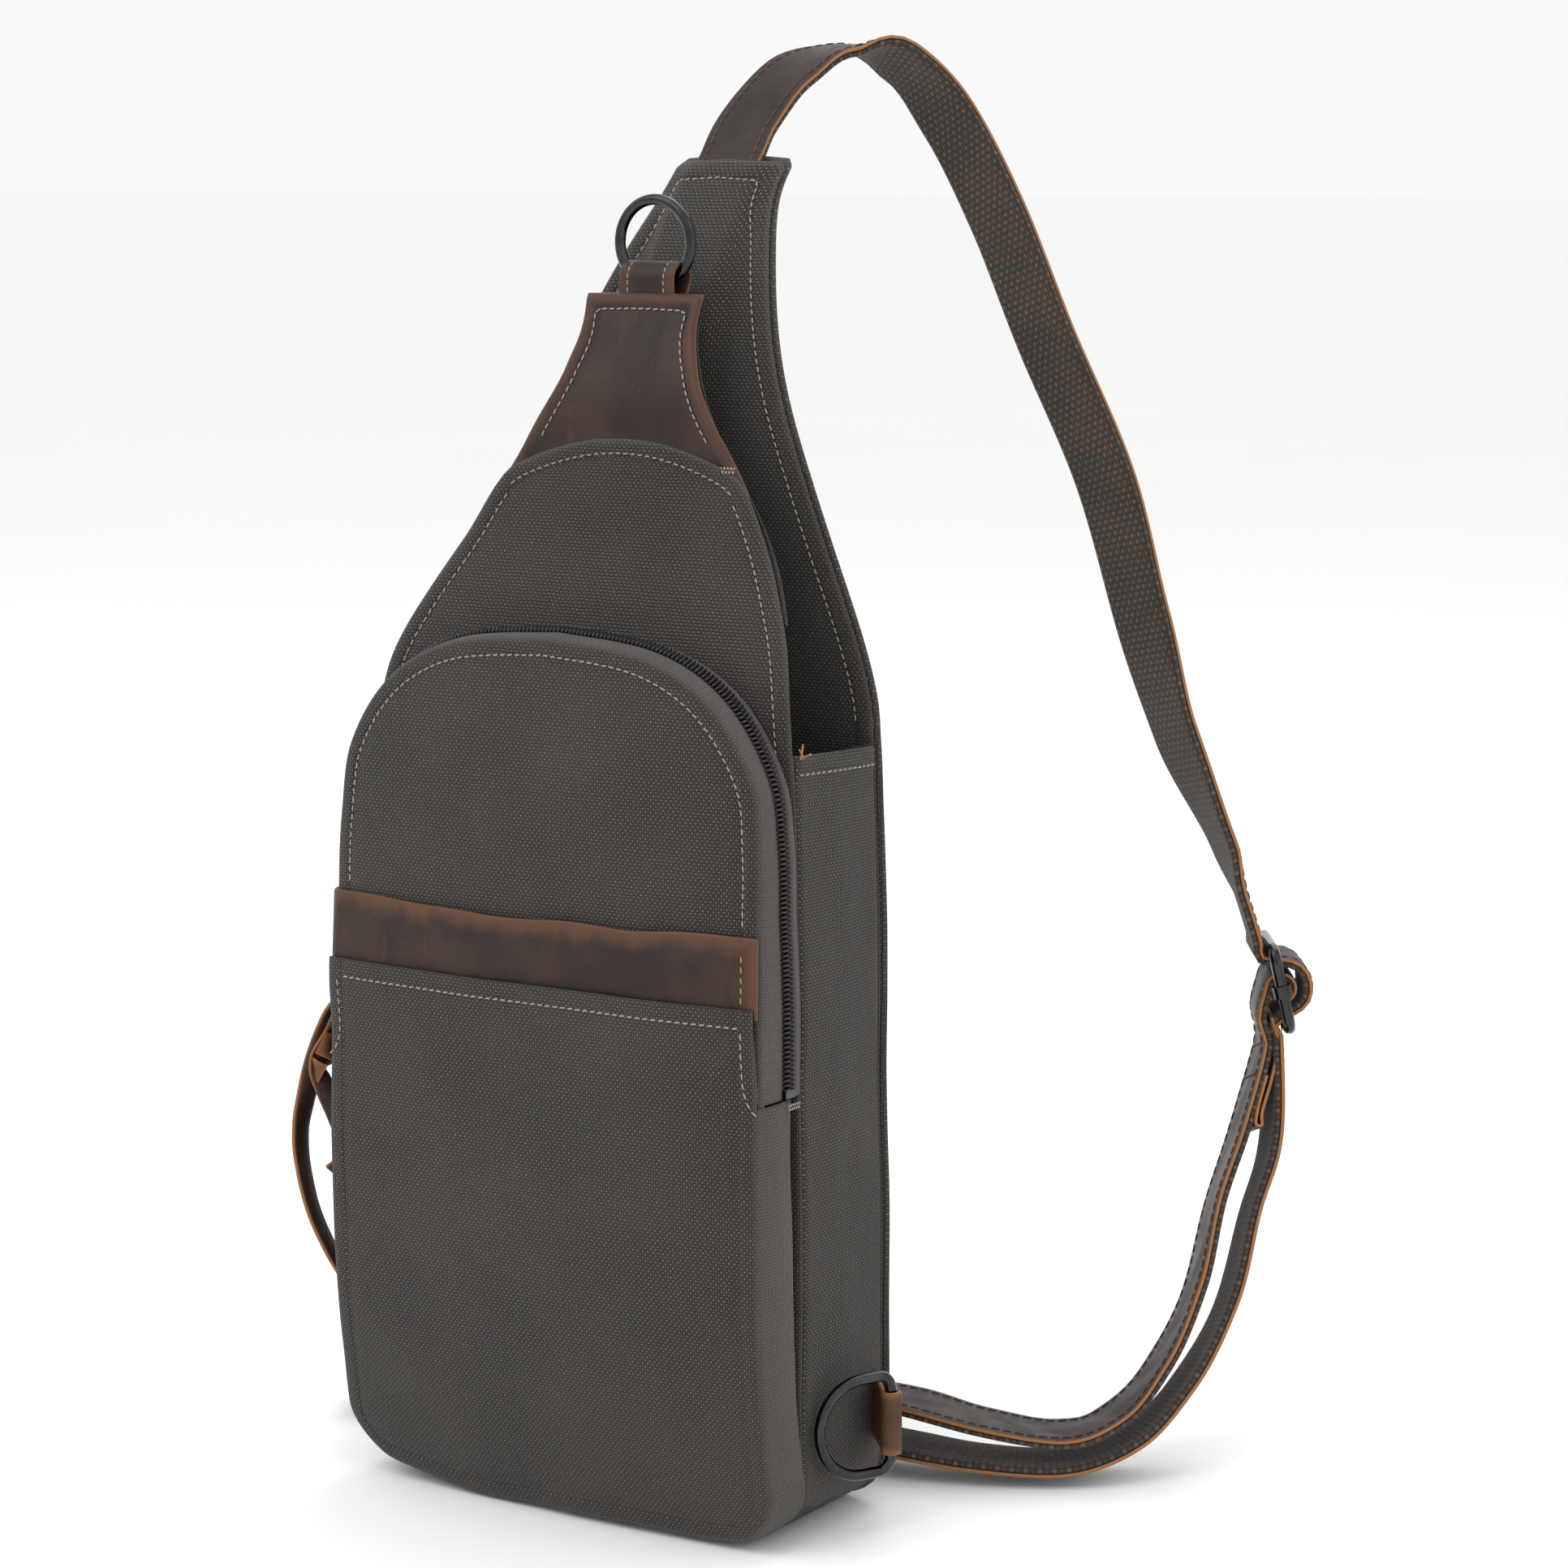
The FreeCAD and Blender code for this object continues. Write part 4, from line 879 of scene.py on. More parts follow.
def tapeStrip(name, node, near, far, puff):
    rows = 6

    def place(u, v):
        i = round(u * archSteps)
        start = near(archLine[i])
        return archSpot(u, puff * math.sin(math.pi * v) - 0.5 * mm, start + (far(archLine[i]) - start) * v)

    strip = shapedGrid(name, archSteps, rows, place, lambda u, v: (v * 10 * mm, u * archLength))
    modify(strip, "SOLIDIFY", thickness=0.8 * mm, offset=0)
    bpy.ops.object.shade_smooth_by_angle(angle=1.0)
    finishPiece(strip, tape, "bag", [node])


tapeStrip("zipTapeFront", "zip_tape_front", lambda p: pocketDepth(p.x, p.y) + bag["pocketRound"] + 1 * mm,
          lambda p: zipY - 0.3 * mm, 0.8 * mm)
tapeStrip("zipTapeRear", "zip_tape_rear", lambda p: zipY + 0.3 * mm, lambda p: bag["front"], 1.4 * mm)

coil = {"pitch": 1.6 * mm, "tooth": 3.7 * mm, "rise": 1.8 * mm}
for side in (-1, 1):
    places = []
    count = int((archLength - 6 * mm) / coil["pitch"])
    for k in range(count):
        share = (3 * mm + (k + 0.25 * (side + 1)) * coil["pitch"]) / archLength
        at = share * archSteps
        i = min(int(at), archSteps - 1)
        along = archLine[i + 1] - archLine[i]
        point = archLine[i] + along * (at - i)
        off = Vector((along.y, -along.x)).normalized()
        spot = settle(point.x + off.x * 0.9 * mm, zipY + side * 1.45 * mm, point.y + off.y * 0.9 * mm)
        places.append(turned(spot, Vector((0, 1, 0)), Vector((off.x, 0, off.y))))
    row = copies("zipCoil" + ("Front" if side < 0 else "Rear"),
                 bead(coil["tooth"], 1.15 * mm, coil["rise"] * 1.6),
                 places)
    finishPiece(row, coilNylon, "bag", ["zip_teeth"] if side < 0 else [])
print("zip made")


# leather patch on the flap
foldRings = rings((0, 1.0), (0.5, 0.1), (1.6, -0.5), (3.2, -0.5), (4.4, 0), (5.2, 0.35), (6.2, 0.1), (9, 0))
patchRight = [Vector((0, 349 * mm))] + flankLine("patch") + [Vector((0, 415.6 * mm))]
patchOutline = closedOutline(patchRight, 150)


def patchDepth(x, z):  # it passes under the canvas arch, so it starts further back there
    return flapDepth(x, z) - 0.2 * mm + 1.3 * mm * (1 - between(357 * mm, 374 * mm, z))


patchSheet = Panel(patchOutline, foldRings, (368 * mm, 402 * mm), 8)
patchLeather = oiledLeather("oiledPatchLeather", "#261c19", "#372821", "#4d3427", 5.0, 0.42, "#584030")
patch = thicken(patchSheet.build("flapPatch", patchDepth), bag["leather"])
finishPiece(patch, patchLeather, "flap", ["leather_patch"])
print("patch made")


# strap: one long leather ply with webbing behind it, bent through the slider and the left ring
strapFrom = {"half": 89, "back": 25, "top": 459}  # half width, back seam and height behind the strap's steps


def routeSpot(x, y, height):
    # share of the half width, millimetres behind the back seam, height in millimetres
    return Vector((x * strapFrom["half"], strapFrom["back"] + y, height)) * mm


strap = {
    "width": 26 * mm,
    "webWidth": 25.2 * mm,
    "leather": 1.5 * mm,
    "webbing": 2.0 * mm,
    "slider": routeSpot(1.83, 151, 166.158),
    "along": Vector((0.183, 0.118, -0.976)).normalized(),
    "turn": -57,
    "wire": 4.4 * mm,
    "frame": 34 * mm,
}
thick = strap["leather"] + strap["webbing"]
upperSteps = [  # share of the half width, millimetres behind the back seam, share of the height, turn
    (0, 55, 1.031, 0), (0.08, 71, 1.068, 0), (0.21, 88, 1.085, -2), (0.38, 101, 1.076, -4),
    (0.54, 111, 1.031, -6), (0.73, 117, 0.956, -8), (0.92, 122, 0.863, -8), (1.15, 129, 0.756, -8),
    (1.3, 133, 0.649, -14), (1.44, 137, 0.556, -26), (1.62, 144, 0.471, -42),
]
loopSteps = [  # the same, with heights in millimetres and the gap between the two legs
    (1.854, 148, 134, -57, 11), (1.82, 137, 112, -57, 12), (1.798, 124, 88, -57, 13),
    (1.787, 109, 58, -57, 12.5), (1.72, 90, 33, -57, 11), (1.607, 73, 17, -57, 10), (1.438, 58, 11, -57, 10),
    (1.157, 45, 13, -60, 13), (0.843, 37, 17, -68, 16), (0.449, 36, 17, -82, 15), (0, 38, 15.5, -90, 14),
    (-0.404, 38, 13.5, -80, 14), (-0.742, 32, 12, -66, 14), (-1.011, 20.5, 10.8, -57, 14),
    (-1.258, 6.5, 10, -57, 14), (-1.461, -5, 9.8, -57, 14),
]


def framed(point, along, turn):  # place, direction of the width, direction of the leather side
    across = Vector((math.cos(math.radians(turn)), math.sin(math.radians(turn)), 0))
    across = (across - along * across.dot(along)).normalized()
    return point, across, -along.cross(across)


def directions(points):
    last = len(points) - 1
    return [(points[min(i + 1, last)] - points[max(i - 1, 0)]).normalized() for i in range(last + 1)]


def tipFrames():  # inside the tip, between the two layers of canvas
    made = []
    for height in (-40, -26, -12, 0):
        angle = math.asin((tip["rise"] + height * mm) / tipBend)
        outward = Vector((0, -math.cos(angle), math.sin(angle)))
        middle = Vector((0, bag["back"] + tipBend, tipStart)) + outward * (tipBend + 0.3 * mm + thick / 2)
        made.append((middle, Vector((1, 0, 0)), outward))
    return made


def sliderFrames():  # inside the end wires of the slider and outside its middle bar
    point, across, outward = framed(strap["slider"], strap["along"], strap["turn"])
    hump = strap["wire"] / 2 + thick * 1.5 + 0.6 * mm
    dip = -(strap["wire"] / 2 + thick / 2 + 0.6 * mm)
    end = strap["frame"] / 2 - strap["wire"] / 2
    steps = [(-34 * mm, -6 * mm), (-end - 3 * mm, dip), (-end + 3 * mm, dip), (-6 * mm, hump), (6 * mm, hump),
             (end - 3 * mm, dip), (end + 3 * mm, dip)]
    return [(point + strap["along"] * s + outward * o, across, outward) for s, o in steps]


def strapFrames():
    frames = tipFrames()
    upper = [routeSpot(x, y, z * strapFrom["top"]) for x, y, z, turn in upperSteps]
    route = [frames[-1][0]] + upper + [strap["slider"] - strap["along"] * 30 * mm]
    for i, along in enumerate(directions(route)[1:-1]):
        frames.append(framed(upper[i], along, upperSteps[i][3]))
    frames += sliderFrames()
    loop = [routeSpot(x, y, z) for x, y, z, turn, gap in loopSteps]
    outer, inner = [], []
    for i, along in enumerate(directions(loop)):
        point, across, outward = framed(loop[i], along, loopSteps[i][3])
        gap = loopSteps[i][4] * mm / 2
        outer.append((point + outward * gap, across, outward))
        inner.append((point - outward * gap, across, -outward))
    point, across, outward = framed(loop[-1], directions(loop)[-1], loopSteps[-1][3])
    bight = []
    for k in range(1, 6):
        angle = math.pi * k / 6
        radial = outward * math.cos(angle) + directions(loop)[-1] * math.sin(angle)
        bight.append((point + radial * loopSteps[-1][4] * mm / 2, across, radial))
    return frames + outer[1:] + bight + inner[:0:-1]  # the first step only steers the second one's direction


def smoothFrames(frames, step):
    # the same run of frames on a smooth curve, about one step apart
    made = []
    last = len(frames) - 1
    for i in range(last):
        four = [frames[max(min(k, last), 0)] for k in (i - 1, i, i + 1, i + 2)]
        gap = (four[2][0] - four[1][0]).length
        count = max(round(gap / step), 2)
        before = min((four[1][0] - four[0][0]).length, gap * 1.6) or gap
        after = min((four[3][0] - four[2][0]).length, gap * 1.6) or gap
        straight = four[2][0] - four[1][0]
        leave = (four[2][0] - four[0][0]).normalized() * (gap + before) / 2 if i > 0 else straight
        arrive = (four[3][0] - four[1][0]).normalized() * (gap + after) / 2 if i < last - 1 else straight
        for k in range(count + (1 if i == last - 1 else 0)):
            t = k / count
            point = (four[1][0] * (2 * t ** 3 - 3 * t ** 2 + 1) + leave * (t ** 3 - 2 * t ** 2 + t)
                     + four[2][0] * (3 * t ** 2 - 2 * t ** 3) + arrive * (t ** 3 - t ** 2))
            ease = t * t * (3 - 2 * t)
            made.append((point, four[1][1].lerp(four[2][1], ease).normalized(),
                         four[1][2].lerp(four[2][2], ease).normalized()))
    squared = []
    along = directions([point for point, across, outward in made])
    for (point, across, outward), direction in zip(made, along):
        across = (across - direction * across.dot(direction)).normalized()
        side = direction.cross(across).normalized()
        squared.append((point, across, side if side.dot(outward) > 0 else -side))
    return squared


def ply(name, frames, width, near, far, material, body, nodes=(), crown=0.0):
    # a flat strip along the frames, with rounded edges and closed ends
    depth = far - near
    turn = min(depth * 0.42, 0.8 * mm)
    section = []  # points round the strip: across and outward
    half = width / 2
    for side, rise in ((1, 1), (-1, 1), (-1, -1), (1, -1)):
        for k in range(3):
            angle = math.pi / 2 * (k / 2)
            if side * rise < 0:
                angle = math.pi / 2 - angle
            section.append((side * (half - turn + turn * math.cos(angle)),
                            rise * (depth / 2 - turn + turn * math.sin(angle))))
    ordered = []
    for i in range(12):
        a, b = section[i], section[(i + 1) % 12]
        ordered.append(a)
        if abs(a[0] - b[0]) > width / 2:  # the flat faces take more points, for the crown and the wear
            ordered += [(a[0] + (b[0] - a[0]) * k / 8, a[1]) for k in range(1, 8)]
    count = len(ordered)
    lengths = [0.0]
    for a, b in zip(frames, frames[1:]):
        lengths.append(lengths[-1] + (b[0] - a[0]).length)
    rows = len(frames) - 1

    def place(u, v):
        across, out = ordered[round(u * count) % count]
        point, sideways, outward = frames[round(v * rows)]
        bow = crown * (1 - (across / half) ** 2) * math.copysign(1, out)
        return point + sideways * across + outward * ((near + far) / 2 + out + bow)

    def flat(u, v):
        across, out = ordered[round(u * count) % count]
        return across, lengths[round(v * rows)]

    def wear(u, v):
        across, out = ordered[round(u * count) % count]
        end = min(lengths[round(v * rows)], lengths[-1] - lengths[round(v * rows)])
        level = abs(out) < depth / 2 - turn * 0.5
        return 0.0 if level else min(half - abs(across), end) / mm

    strip = shapedGrid(name, count, rows, place, flat, wear)
    editMesh("SELECT")
    bpy.ops.mesh.fill_holes(sides=0)
    bpy.ops.mesh.select_all(action="SELECT")
    bpy.ops.mesh.normals_make_consistent(inside=False)
    bpy.ops.object.mode_set(mode="OBJECT")
    bpy.ops.object.shade_smooth_by_angle(angle=0.9)
    return finishPiece(strip, material, body, nodes)


def strapEndFrames():
    # up the inner leg, between the end wire and the other strand, and once round the slider's bar
    point, across, outward = framed(strap["slider"], strap["along"], strap["turn"])
    along = strap["along"]
    reach = strap["wire"] / 2 + 0.3 * mm + thick / 2
    clear = strap["wire"] / 2 + 1.75 * thick + 0.6 * mm
    frames = []
    for travel, offset in ((20 * mm, clear), (9 * mm, clear - 0.2 * mm)):
        frames.append((point + along * travel - outward * offset, across, -outward))
    for degrees in range(-80, 181, 40):
        angle = math.radians(degrees)
        radial = outward * math.sin(angle) - along * math.cos(angle)
        frames.append((point + radial * reach, across, radial))
    return frames


strapRun = smoothFrames(strapFrames() + strapEndFrames(), 3.2 * mm)
seam = thick / 2 - strap["leather"]
ply("strapLeather", strapRun, strap["width"], seam, thick / 2, strapLeather, "bag",
    ["strap_upper_leather", "strap_weave_leather", "strap_loop_leather", "strap_end"], 0.2 * mm)
ply("strapWebbing", strapRun, strap["webWidth"], -thick / 2, seam, webbing, "bag",
    ["strap_upper_webbing", "strap_weave_webbing", "strap_loop_webbing"])


def nearest(frames, point):
    return min(frames, key=lambda spot: (spot[0] - point).length_squared)


def sewnOn(name, line, run, pitch, width):  # brown stitches on the strap's leather side
    row = stitchRow(name, line, lambda share, point: nearest(run, point)[2], pitch, width)
    finishPiece(row, darkThread, "bag")


for side, name in ((-1, "Left"), (1, "Right")):
    line = [p + a * side * 9.8 * mm + o * (thick / 2 + 0.1 * mm) for p, a, o in strapRun]
    sewnOn("strapStitches" + name, line, strapRun, 4.2 * mm, 0.7 * mm)

endLeg = strapRun[-34:-8]  # the leg that ends at the slider's bar, from below upward
for index, name in ((10, "Lower"), (14, "Upper")):
    p, a, o = endLeg[index]
    line = [p + a * x * mm + o * (thick / 2 + 0.1 * mm) for x in range(-9, 10)]
    sewnOn("endStitches" + name, line, endLeg, 2.2 * mm, 0.8 * mm)

tail = []  # the strap's end comes back down between the legs, and its tip is folded on itself
for index in (18, 15, 12, 9, 6):
    p, a, o = endLeg[index]
    tail.append((p - o * (thick / 2 + 1.9 * mm), a, -o))
p, a, o = endLeg[5]
down = (endLeg[4][0] - endLeg[8][0]).normalized()
for degrees in (30, 90, 150):
    angle = math.radians(degrees)
    radial = -o * math.cos(angle) + down * math.sin(angle)
    tail.append((p - o * (thick / 2 + 3.3 * mm) + o * 1.4 * mm + radial * 1.4 * mm, a, radial))
for index in (7, 10):
    p, a, o = endLeg[index]
    tail.append((p - o * (thick / 2 - 0.1 * mm), a, o))
ply("strapTail", smoothFrames(tail, 1.6 * mm), strap["width"], -0.7 * mm, 0.7 * mm, strapLeather,
    "bag")
print("strap made")


# leather tabs that hold the rings
def tabFrames(root, bar, across):
    # from the seam, round the bar and back to the seam
    along = (bar - root).normalized()
    outward = along.cross(across).normalized()
    gap = 0.9 * mm
    reach = 2.2 * mm + bag["leather"] / 2
    frames = [(root + outward * gap, upright, outward),
              (root.lerp(bar, 0.55) + outward * (gap + 0.4 * mm), across, outward)]
    for degrees in (65, 30, 0, -30, -65):
        angle = math.radians(degrees)
        radial = outward * math.sin(angle) + along * math.cos(angle)
        frames.append((bar + radial * reach, across, radial))
    frames.append((root.lerp(bar, 0.55) - outward * (gap + 0.4 * mm), across, -outward))
    frames.append((root - outward * gap, upright, -outward))
    return frames


upright = Vector((0, 0, 1))
tabs = {  # where each tab leaves the seam, the bar of its ring, and how that bar lies
    "right": (Vector((89.5, 19, 38)), Vector((105, 4, 38)), upright),
    "left": (Vector((-89.5, 22, 38)), Vector((-110.9, 32.4, 23.5)), Vector((0.54464, -0.83867, 0))),
}
for name, (root, bar, across) in tabs.items():
    run = smoothFrames(tabFrames(root * mm, bar * mm, across), 1.5 * mm)
    ply(name + "Tab", run, 22 * mm, -0.8 * mm, 0.8 * mm, tabLeather, "bag",
        ["side_tab_" + name])

ringTab = {"width": 22.5 * mm, "pivot": Vector((0, 21, 420)) * mm, "reach": 5.4 * mm}


def ringTabFrames():
    sideways = Vector((1, 0, 0))
    low = flapDepth(0, 398 * mm) + 3.4 * mm
    spots = [(low, 396), (flapDepth(0, 410 * mm) + 3.4 * mm, 410), (15.7 * mm, 416.5)]
    frames = [(Vector((0, y, z * mm)), sideways, Vector((0, -1, 0.2)).normalized()) for y, z in spots]
    for degrees in range(0, 181, 30):
        angle = math.radians(degrees)
        radial = Vector((0, -math.cos(angle), math.sin(angle)))
        frames.append((ringTab["pivot"] + radial * ringTab["reach"], sideways, radial))
    back = Vector((0, 0.9, -0.3)).normalized()
    frames.append((Vector((0, 21 * mm, 409 * mm)), sideways, back))
    frames.append((Vector((0, low + 2.4 * mm, 397 * mm)), sideways, back))
    return frames


ringRun = smoothFrames(ringTabFrames(), 1.5 * mm)
ply("ringTabLoop", ringRun, ringTab["width"], -0.8 * mm, 0.8 * mm, patchLeather, "flap",
    ["ring_tab"])
for side in (-1, 1):
    line = [p + a * side * 7.4 * mm + o * 0.8 * mm for p, a, o in ringRun]
    outs = [o for p, a, o in ringRun]
    row = stitchRow("ringTabStitches" + ("Left" if side < 0 else "Right"), line,
                    lambda share, point: outs[min(range(len(line)),
                                                  key=lambda k: (line[k] - point).length_squared)],
                    2.4 * mm, 0.5 * mm)
    finishPiece(row, paleThread, "flap")
print("tabs made")


# zip pull: a thong through the slider, its long leg swinging out and back to the bag
pull = {"width": 8.5 * mm, "thick": 1.5 * mm, "pivot": Vector((-93.12, -34.88, 176.06)) * mm}


def pullRun(steps):
    made = []
    points = [pull["pivot"] + Vector((x, y, z)) * mm for x, y, z, turn in steps]
    for i, along in enumerate(directions(points)):
        angle = math.radians(steps[i][3])
        across = Vector((math.sin(angle), math.cos(angle), 0))
        across = (across - along * across.dot(along)).normalized()
        made.append((points[i], across, along.cross(across)))
    return smoothFrames(made, 2 * mm)


longLeg = [(0.5, 0, 3, 0), (-1.5, -2, -5, 0), (-6, -5, -14, 18), (-10, -8, -28, 40), (-15, -9, -44, 12),
           (-17.5, -9, -57, 0),
           (-16.2, -9, -70, -6), (-12, -9, -84, -10), (-5.5, -8, -97, -12), (0.5, -6, -107, -10)]
ply("pullLongLeg", pullRun(longLeg), pull["width"], -pull["thick"] / 2, pull["thick"] / 2, thongLeather,
    "zip_puller", ["zip_pull"], 0.5 * mm)
shortLeg = [(0.5, 1.8, 3, 0), (-2.5, -1, -6, -10), (-7, -5, -17, -30), (-10.5, -8, -29, 0),
            (-7, -8.6, -37, 40), (-2, -8, -47, 55),
            (1.2, -6.5, -57, 55), (0.6, -6, -64, 50), (-4.5, -7.5, -68.5, 45)]
ply("pullShortLeg", pullRun(shortLeg), pull["width"] * 0.85, -0.6 * mm, 0.6 * mm, thongLeather,
    "zip_puller", ["zip_pull_tail"], 0.4 * mm)
knot = []  # one leg turned once round the other
for k in range(15):
    angle = math.radians(-60 + 26 * k)
    spin = Vector((math.cos(angle), math.sin(angle), 0))
    centre = pull["pivot"] + Vector((-8.6, -6.6, -22 - 0.85 * k)) * mm
    knot.append((centre + spin * 3.4 * mm, Vector((0, 0, 1)), spin))
ply("pullKnot", smoothFrames(knot, 1.5 * mm), pull["width"], -0.6 * mm, 0.7 * mm, tabLeather,
    "zip_puller")
print("zip pull made")


# back pads: foam under air mesh, blown up a little, with a piped edge and, on tall pads, two sewn channels
# across
pads = {"wider": 5 * mm, "fuller": 3 * mm, "frames": 16, "limit": 2.4 * mm}
padFill = {"upper_back_pad": 0.55, "lower_back_pad": 0.6}


def makePad(node):
    low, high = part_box(node)
    high += Vector((pads["wider"], pads["fuller"], 0))
    low -= Vector((pads["wider"], 0, 0))
    middle = (low + high) / 2
    size = high - low
    deselectAll()
    bpy.ops.mesh.primitive_cube_add(size=1, location=middle)
    pad = bpy.context.object
    pad.name = "".join(part.title() if i else part for i, part in enumerate(node.split("_")))
    editMesh("SELECT")
    bpy.ops.transform.resize(value=(size.x - 5 * mm, size.y - 2.4 * mm, size.z - 5 * mm))
    bpy.ops.object.mode_set(mode="OBJECT")
    bpy.ops.object.transform_apply(location=True, rotation=False, scale=False)
    editMesh("DESELECT")
    bpy.ops.object.mode_set(mode="OBJECT")
    for edge in pad.data.edges:
        a, b = (pad.data.vertices[i].co for i in edge.vertices)
        edge.select = abs(a.y - b.y) > size.y / 2
    bpy.ops.object.mode_set(mode="EDIT")
    bpy.ops.mesh.select_mode(type="EDGE")
    bpy.ops.mesh.bevel(offset=17 * mm, segments=6)
    bpy.ops.object.mode_set(mode="OBJECT")
    modify(pad, "BEVEL", width=1.6 * mm, segments=3, limit_method="ANGLE", angle_limit=0.9)
    modify(pad, "REMESH", mode="VOXEL", voxel_size=4 * mm)
    blowUp(pad, low, high)
    modify(pad, "REMESH", mode="VOXEL", voxel_size=3 * mm)
    for point in pad.data.vertices:
        co = point.co
        inX = min(co.x - low.x, high.x - co.x)
        inZ = min(co.z - low.z, high.z - co.z)
        rim = min(inX, inZ)
        if co.y > middle.y:  # piped edge, and two sewn channels across the pad
            groove = 2.2 * mm * math.exp(-((rim - 7.5 * mm) / (1.8 * mm)) ** 2)
            for share in (0.36, 0.64):
                line = low.z + size.z * share
                if size.z > 90 * mm:
                    channel = 1.9 * mm * math.exp(-((co.z - line) / (2.4 * mm)) ** 2)
                    groove += channel * between(6 * mm, 9 * mm, rim)
            co.y = min(co.y - groove, high.y + 1.5 * mm)
        co.y = max(co.y, low.y + 0.4 * mm)
    modify(pad, "SMOOTH", factor=0.5, iterations=3)
    modify(pad, "SUBSURF", levels=1, render_levels=1)
    bpy.ops.object.shade_smooth()
    return finishPiece(pad, padMesh, "bag", [node])


def blowUp(pad, low, high):
    scene = bpy.context.scene
    before = [p.co.copy() for p in pad.data.vertices]
    pinned = pad.vertex_groups.new(name="sewn")
    pinned.add([p.index for p in pad.data.vertices if p.co.y < (low.y + high.y) / 2 - 0.5 * mm], 1.0,
               "REPLACE")
    puff = pad.modifiers.new("Cloth", "CLOTH")
    puff.settings.quality = 5
    puff.settings.use_pressure = True
    puff.settings.uniform_pressure_force = 4
    puff.settings.effector_weights.gravity = 0
    puff.settings.vertex_group_mass = "sewn"
    puff.point_cache.frame_start = 1
    puff.point_cache.frame_end = pads["frames"]
    for step in range(1, pads["frames"] + 1):
        scene.frame_set(step)
    shaped = pad.evaluated_get(bpy.context.evaluated_depsgraph_get()).to_mesh()
    moved = [p.co.copy() for p in shaped.vertices]
    pad.modifiers.remove(puff)
    pad.vertex_groups.clear()
    for point, old, new in zip(pad.data.vertices, before, moved):
        step = new - old
        point.co = old + step.normalized() * min(step.length, pads["limit"]) if step.length > 0 else old
    scene.frame_set(1)


for node, fill in padFill.items():
    makePad(node)
print("pads made")


# seams
seamInset = {"back": 6.6 * mm, "arch": 5.2 * mm, "flap": 6.3 * mm, "patch": 5.4 * mm, "pocket": 6.1 * mm}


def span(panel, chosen):  # the stretch of an outline whose points are chosen, as shares of it
    kept = [i for i, point in enumerate(panel.outline) if chosen(point)]
    return kept[0] / panel.count, kept[-1] / panel.count


def sewn(name, line, body, outward=front, thread=paleThread, pitch=3.0 * mm,
         width=0.62 * mm):
    return finishPiece(stitchRow(name, line, outward, pitch, width), thread, body)


first, last = span(backSheet, lambda p: p.y > 272 * mm)
sewn("tipStitches", seamLine(backSheet, seamInset["back"], backFrontDepth, first, last), "bag")
first, last = span(backSheet, lambda p: p.y > 60 * mm)
sewn("backStitches", seamLine(backSheet, seamInset["back"], lambda x, z: leanBack(x, z) + 3 * mm, first, last,
                              -bag["canvas"]),
     "bag", outward=lambda share, point: Vector((0, 1, 0)))

archEnds = span(frontSheet, lambda p: p.y > 351.4 * mm)
sewn("archStitches", seamLine(frontSheet, seamInset["arch"], flapDepth, *archEnds), "flap")
for side, (first, last) in {"Right": (0.29, archEnds[0] - 0.003),
                            "Left": (archEnds[1] + 0.003, 0.71)}.items():
    line = seamLine(frontSheet, seamInset["flap"], flapDepth, first, last)
    row = stitchRow("flapStitches" + side, line, front)
    row.data.materials.append(paleThread)
    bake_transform(row)
first, last = span(patchSheet, lambda p: p.y > 368 * mm)
sewn("patchStitches", seamLine(patchSheet, seamInset["patch"], patchDepth, first, last), "flap")
first, last = span(pocketSheet, lambda p: p.y > 213 * mm)
sewn("pocketStitches", seamLine(pocketSheet, seamInset["pocket"], pocketDepth, first, last, -0.2 * mm), "bag")


def slipSeam(points):
    return [settle(x * mm, slipDepth(x * mm, z * mm), z * mm) for x, z in points]


hemSeam = [(x, bag["slipHem"] / mm - 6) for x in range(-80, 83, 2)]
sewn("slipHemStitches", slipSeam(hemSeam), "bag")
slipTurn = [(82.6, 181), (82.4, 172), (82.8, 162), (85, 156), (88, 153)]
for side, name in ((1, "Right"), (-1, "Left")):
    turnDown = smoothLine([Vector((side * x, z)) for x, z in slipTurn], 8)
    sewn("slipSideStitches" + name, slipSeam([tuple(p) for p in turnDown]), "bag")
bandSeam = [settle(81.5 * mm, pocketDepth(81.5 * mm, z * mm) - band["lift"] - bag["leather"], z * mm)
            for z in range(189, 207)]
sewn("bandEndStitches", bandSeam, "bag", thread=tanThread)
hemColumn = 3 / gussetShape["columns"]  # how far below its hem the gusset is stitched
for side, name in ((1, "Right"), (-1, "Left")):
    hem = [bandSpot(hemColumn if side > 0 else 1 - hemColumn, v / 60) for v in range(3, 58)]
    sewn("gussetHemStitches" + name, hem, "bag", outward=lambda share, point: Vector((side, 0, 0)))
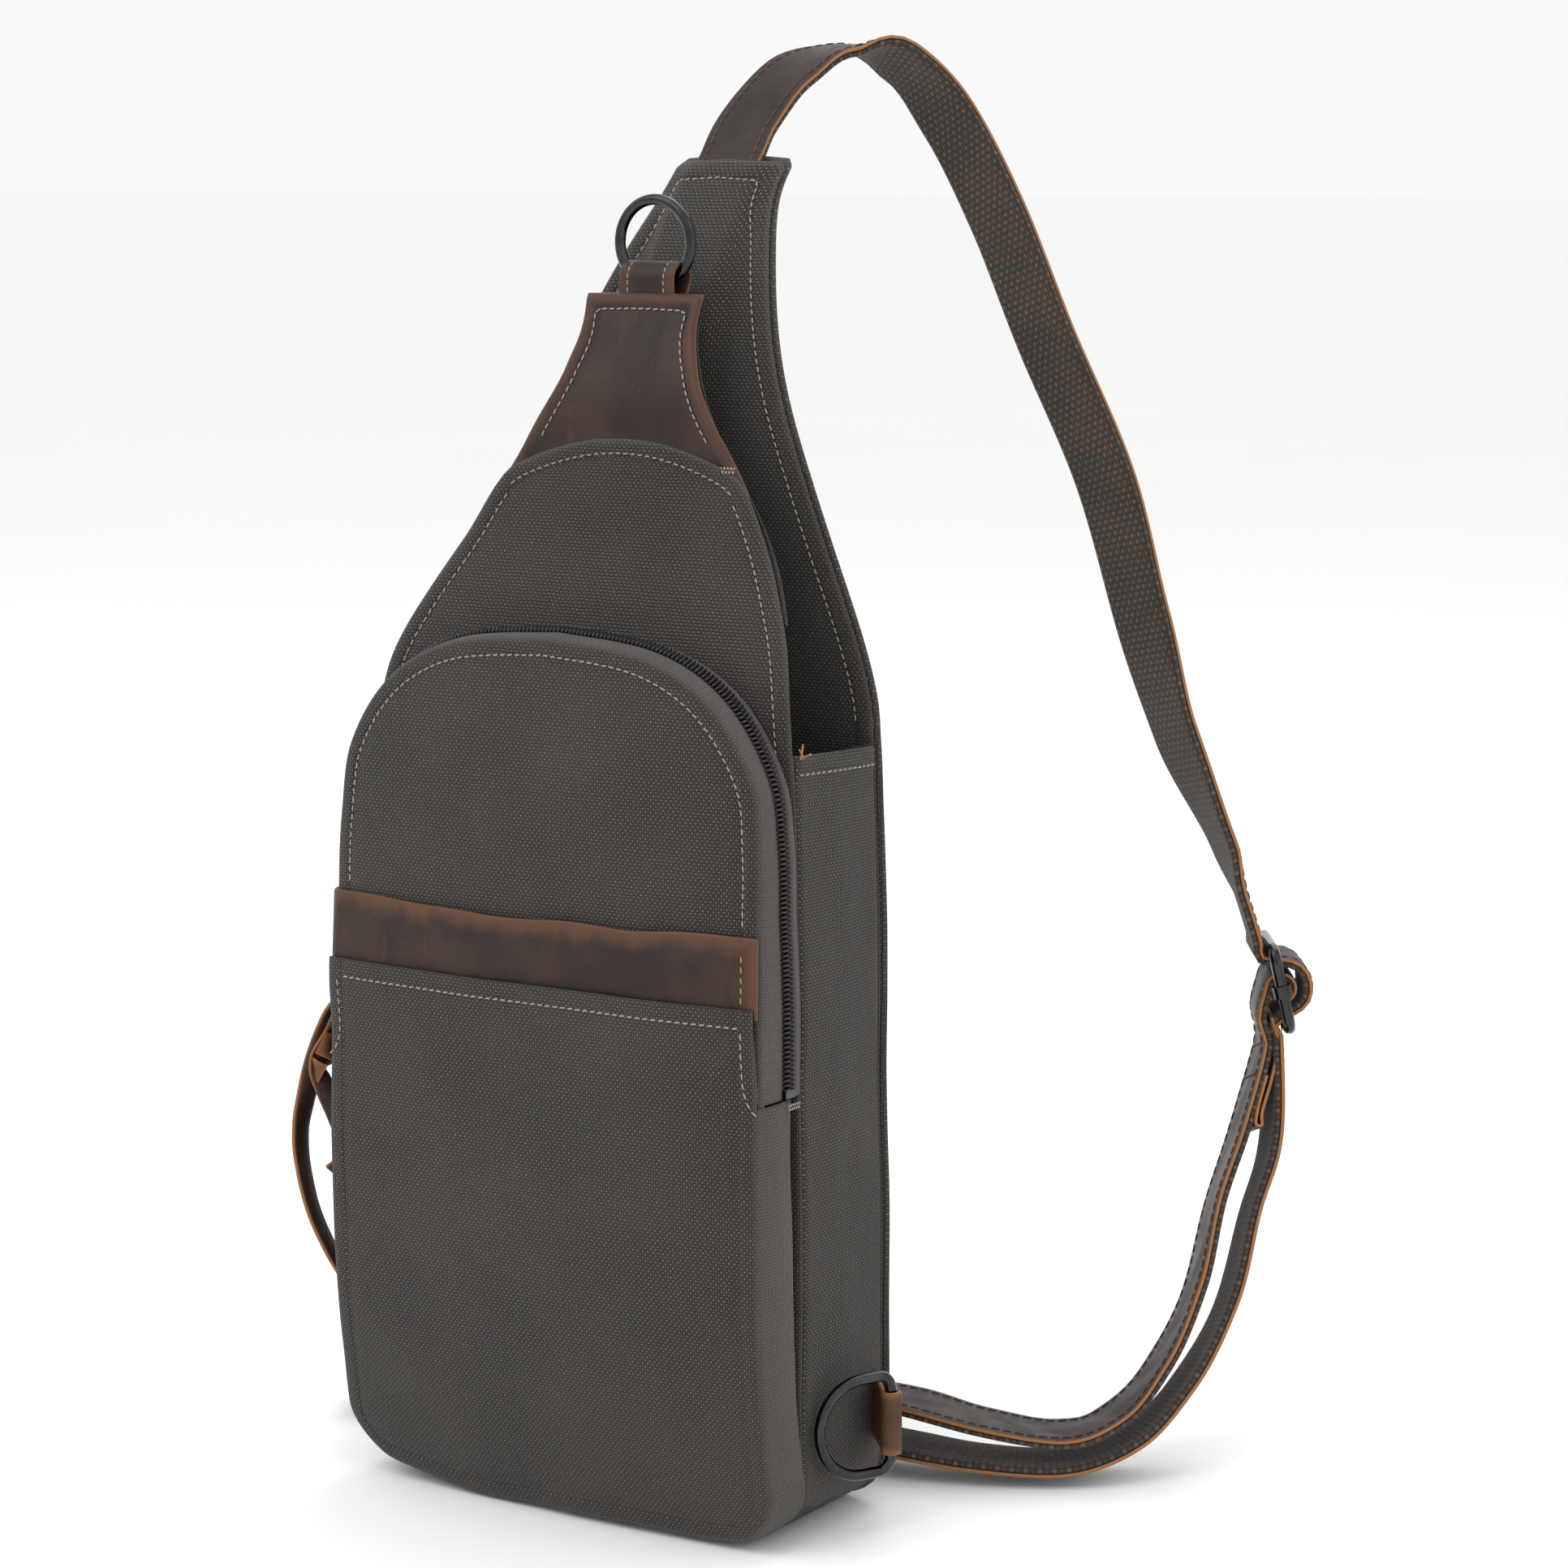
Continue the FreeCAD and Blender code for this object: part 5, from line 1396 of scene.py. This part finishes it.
for number, (lean, rise) in enumerate(((1.5, 5), (4, 2), (-1, 3))):
    start = bandSpot(0, 0.06) + Vector((0.4 * mm, number * 0.8 * mm, -1 * mm))
    spots = [start + Vector((lean * t * mm, -0.8 * t * t * mm, rise * t * mm)) for t in (0, 0.35, 0.7, 1)]
    strand = [(spot, Vector((0, 1, 0)), Vector((1, 0, 0))) for spot in spots]
    ply("threadEnd" + str(number), smoothFrames(strand, 0.8 * mm), 0.6 * mm, -0.25 * mm, 0.25 * mm, tanThread,
        "bag")


def barTack(name, start, end, body, outward=front, wide=1.3 * mm):
    along = end - start
    off = along.cross(outward(0, start)).normalized() * wide
    count = max(round(along.length / (0.7 * mm)), 2)
    zigzag = [start.lerp(end, k / count) + off * (1 if k % 2 else -1) for k in range(count + 1)]
    return sewn(name, zigzag, body, outward, pitch=1.3 * mm, width=0.5 * mm)


for side, name in ((1, "Right"), (-1, "Left")):
    outside = lambda share, point: Vector((side, 0, 0))
    low = settle(side * 90.6 * mm, zipY, 153.5 * mm)
    barTack("zipTack" + name, low - Vector((0, 3.4 * mm, 0)), low + Vector((0, 3.4 * mm, 0)),
            "bag", outside)
corner = frontSheet.outline[round(archEnds[0] * frontSheet.count)] + Vector((-7 * mm, 6 * mm))
place = settle(corner.x, flapDepth(corner.x, corner.y) - 0.2 * mm, corner.y)
barTack("archTackRight", place - Vector((2 * mm, 0, 1 * mm)), place + Vector((3.5 * mm, 0, -1 * mm)),
        "flap")
print("seams made")


# parts kept from the design take their real finishes
plated = ["snap_stud", "snap_socket", "top_ring", "d_ring_right", "d_ring_left", "slider_frame", "slider_bar",
          "zip_slider", "zip_stops"]
for finish, nodes in ((lining, ["lining", "flap_facing"]), (nickel, plated)):
    for node in nodes:
        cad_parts[node].data.materials.clear()
        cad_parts[node].data.materials.append(finish)


# floor
deselectAll()
bpy.ops.mesh.primitive_plane_add(size=60, location=(0, 0, -0.0002))
floor = bpy.context.object
floor.name = "paleFloor"
floor.data.materials.append(paleFloor())

print("scene ready")
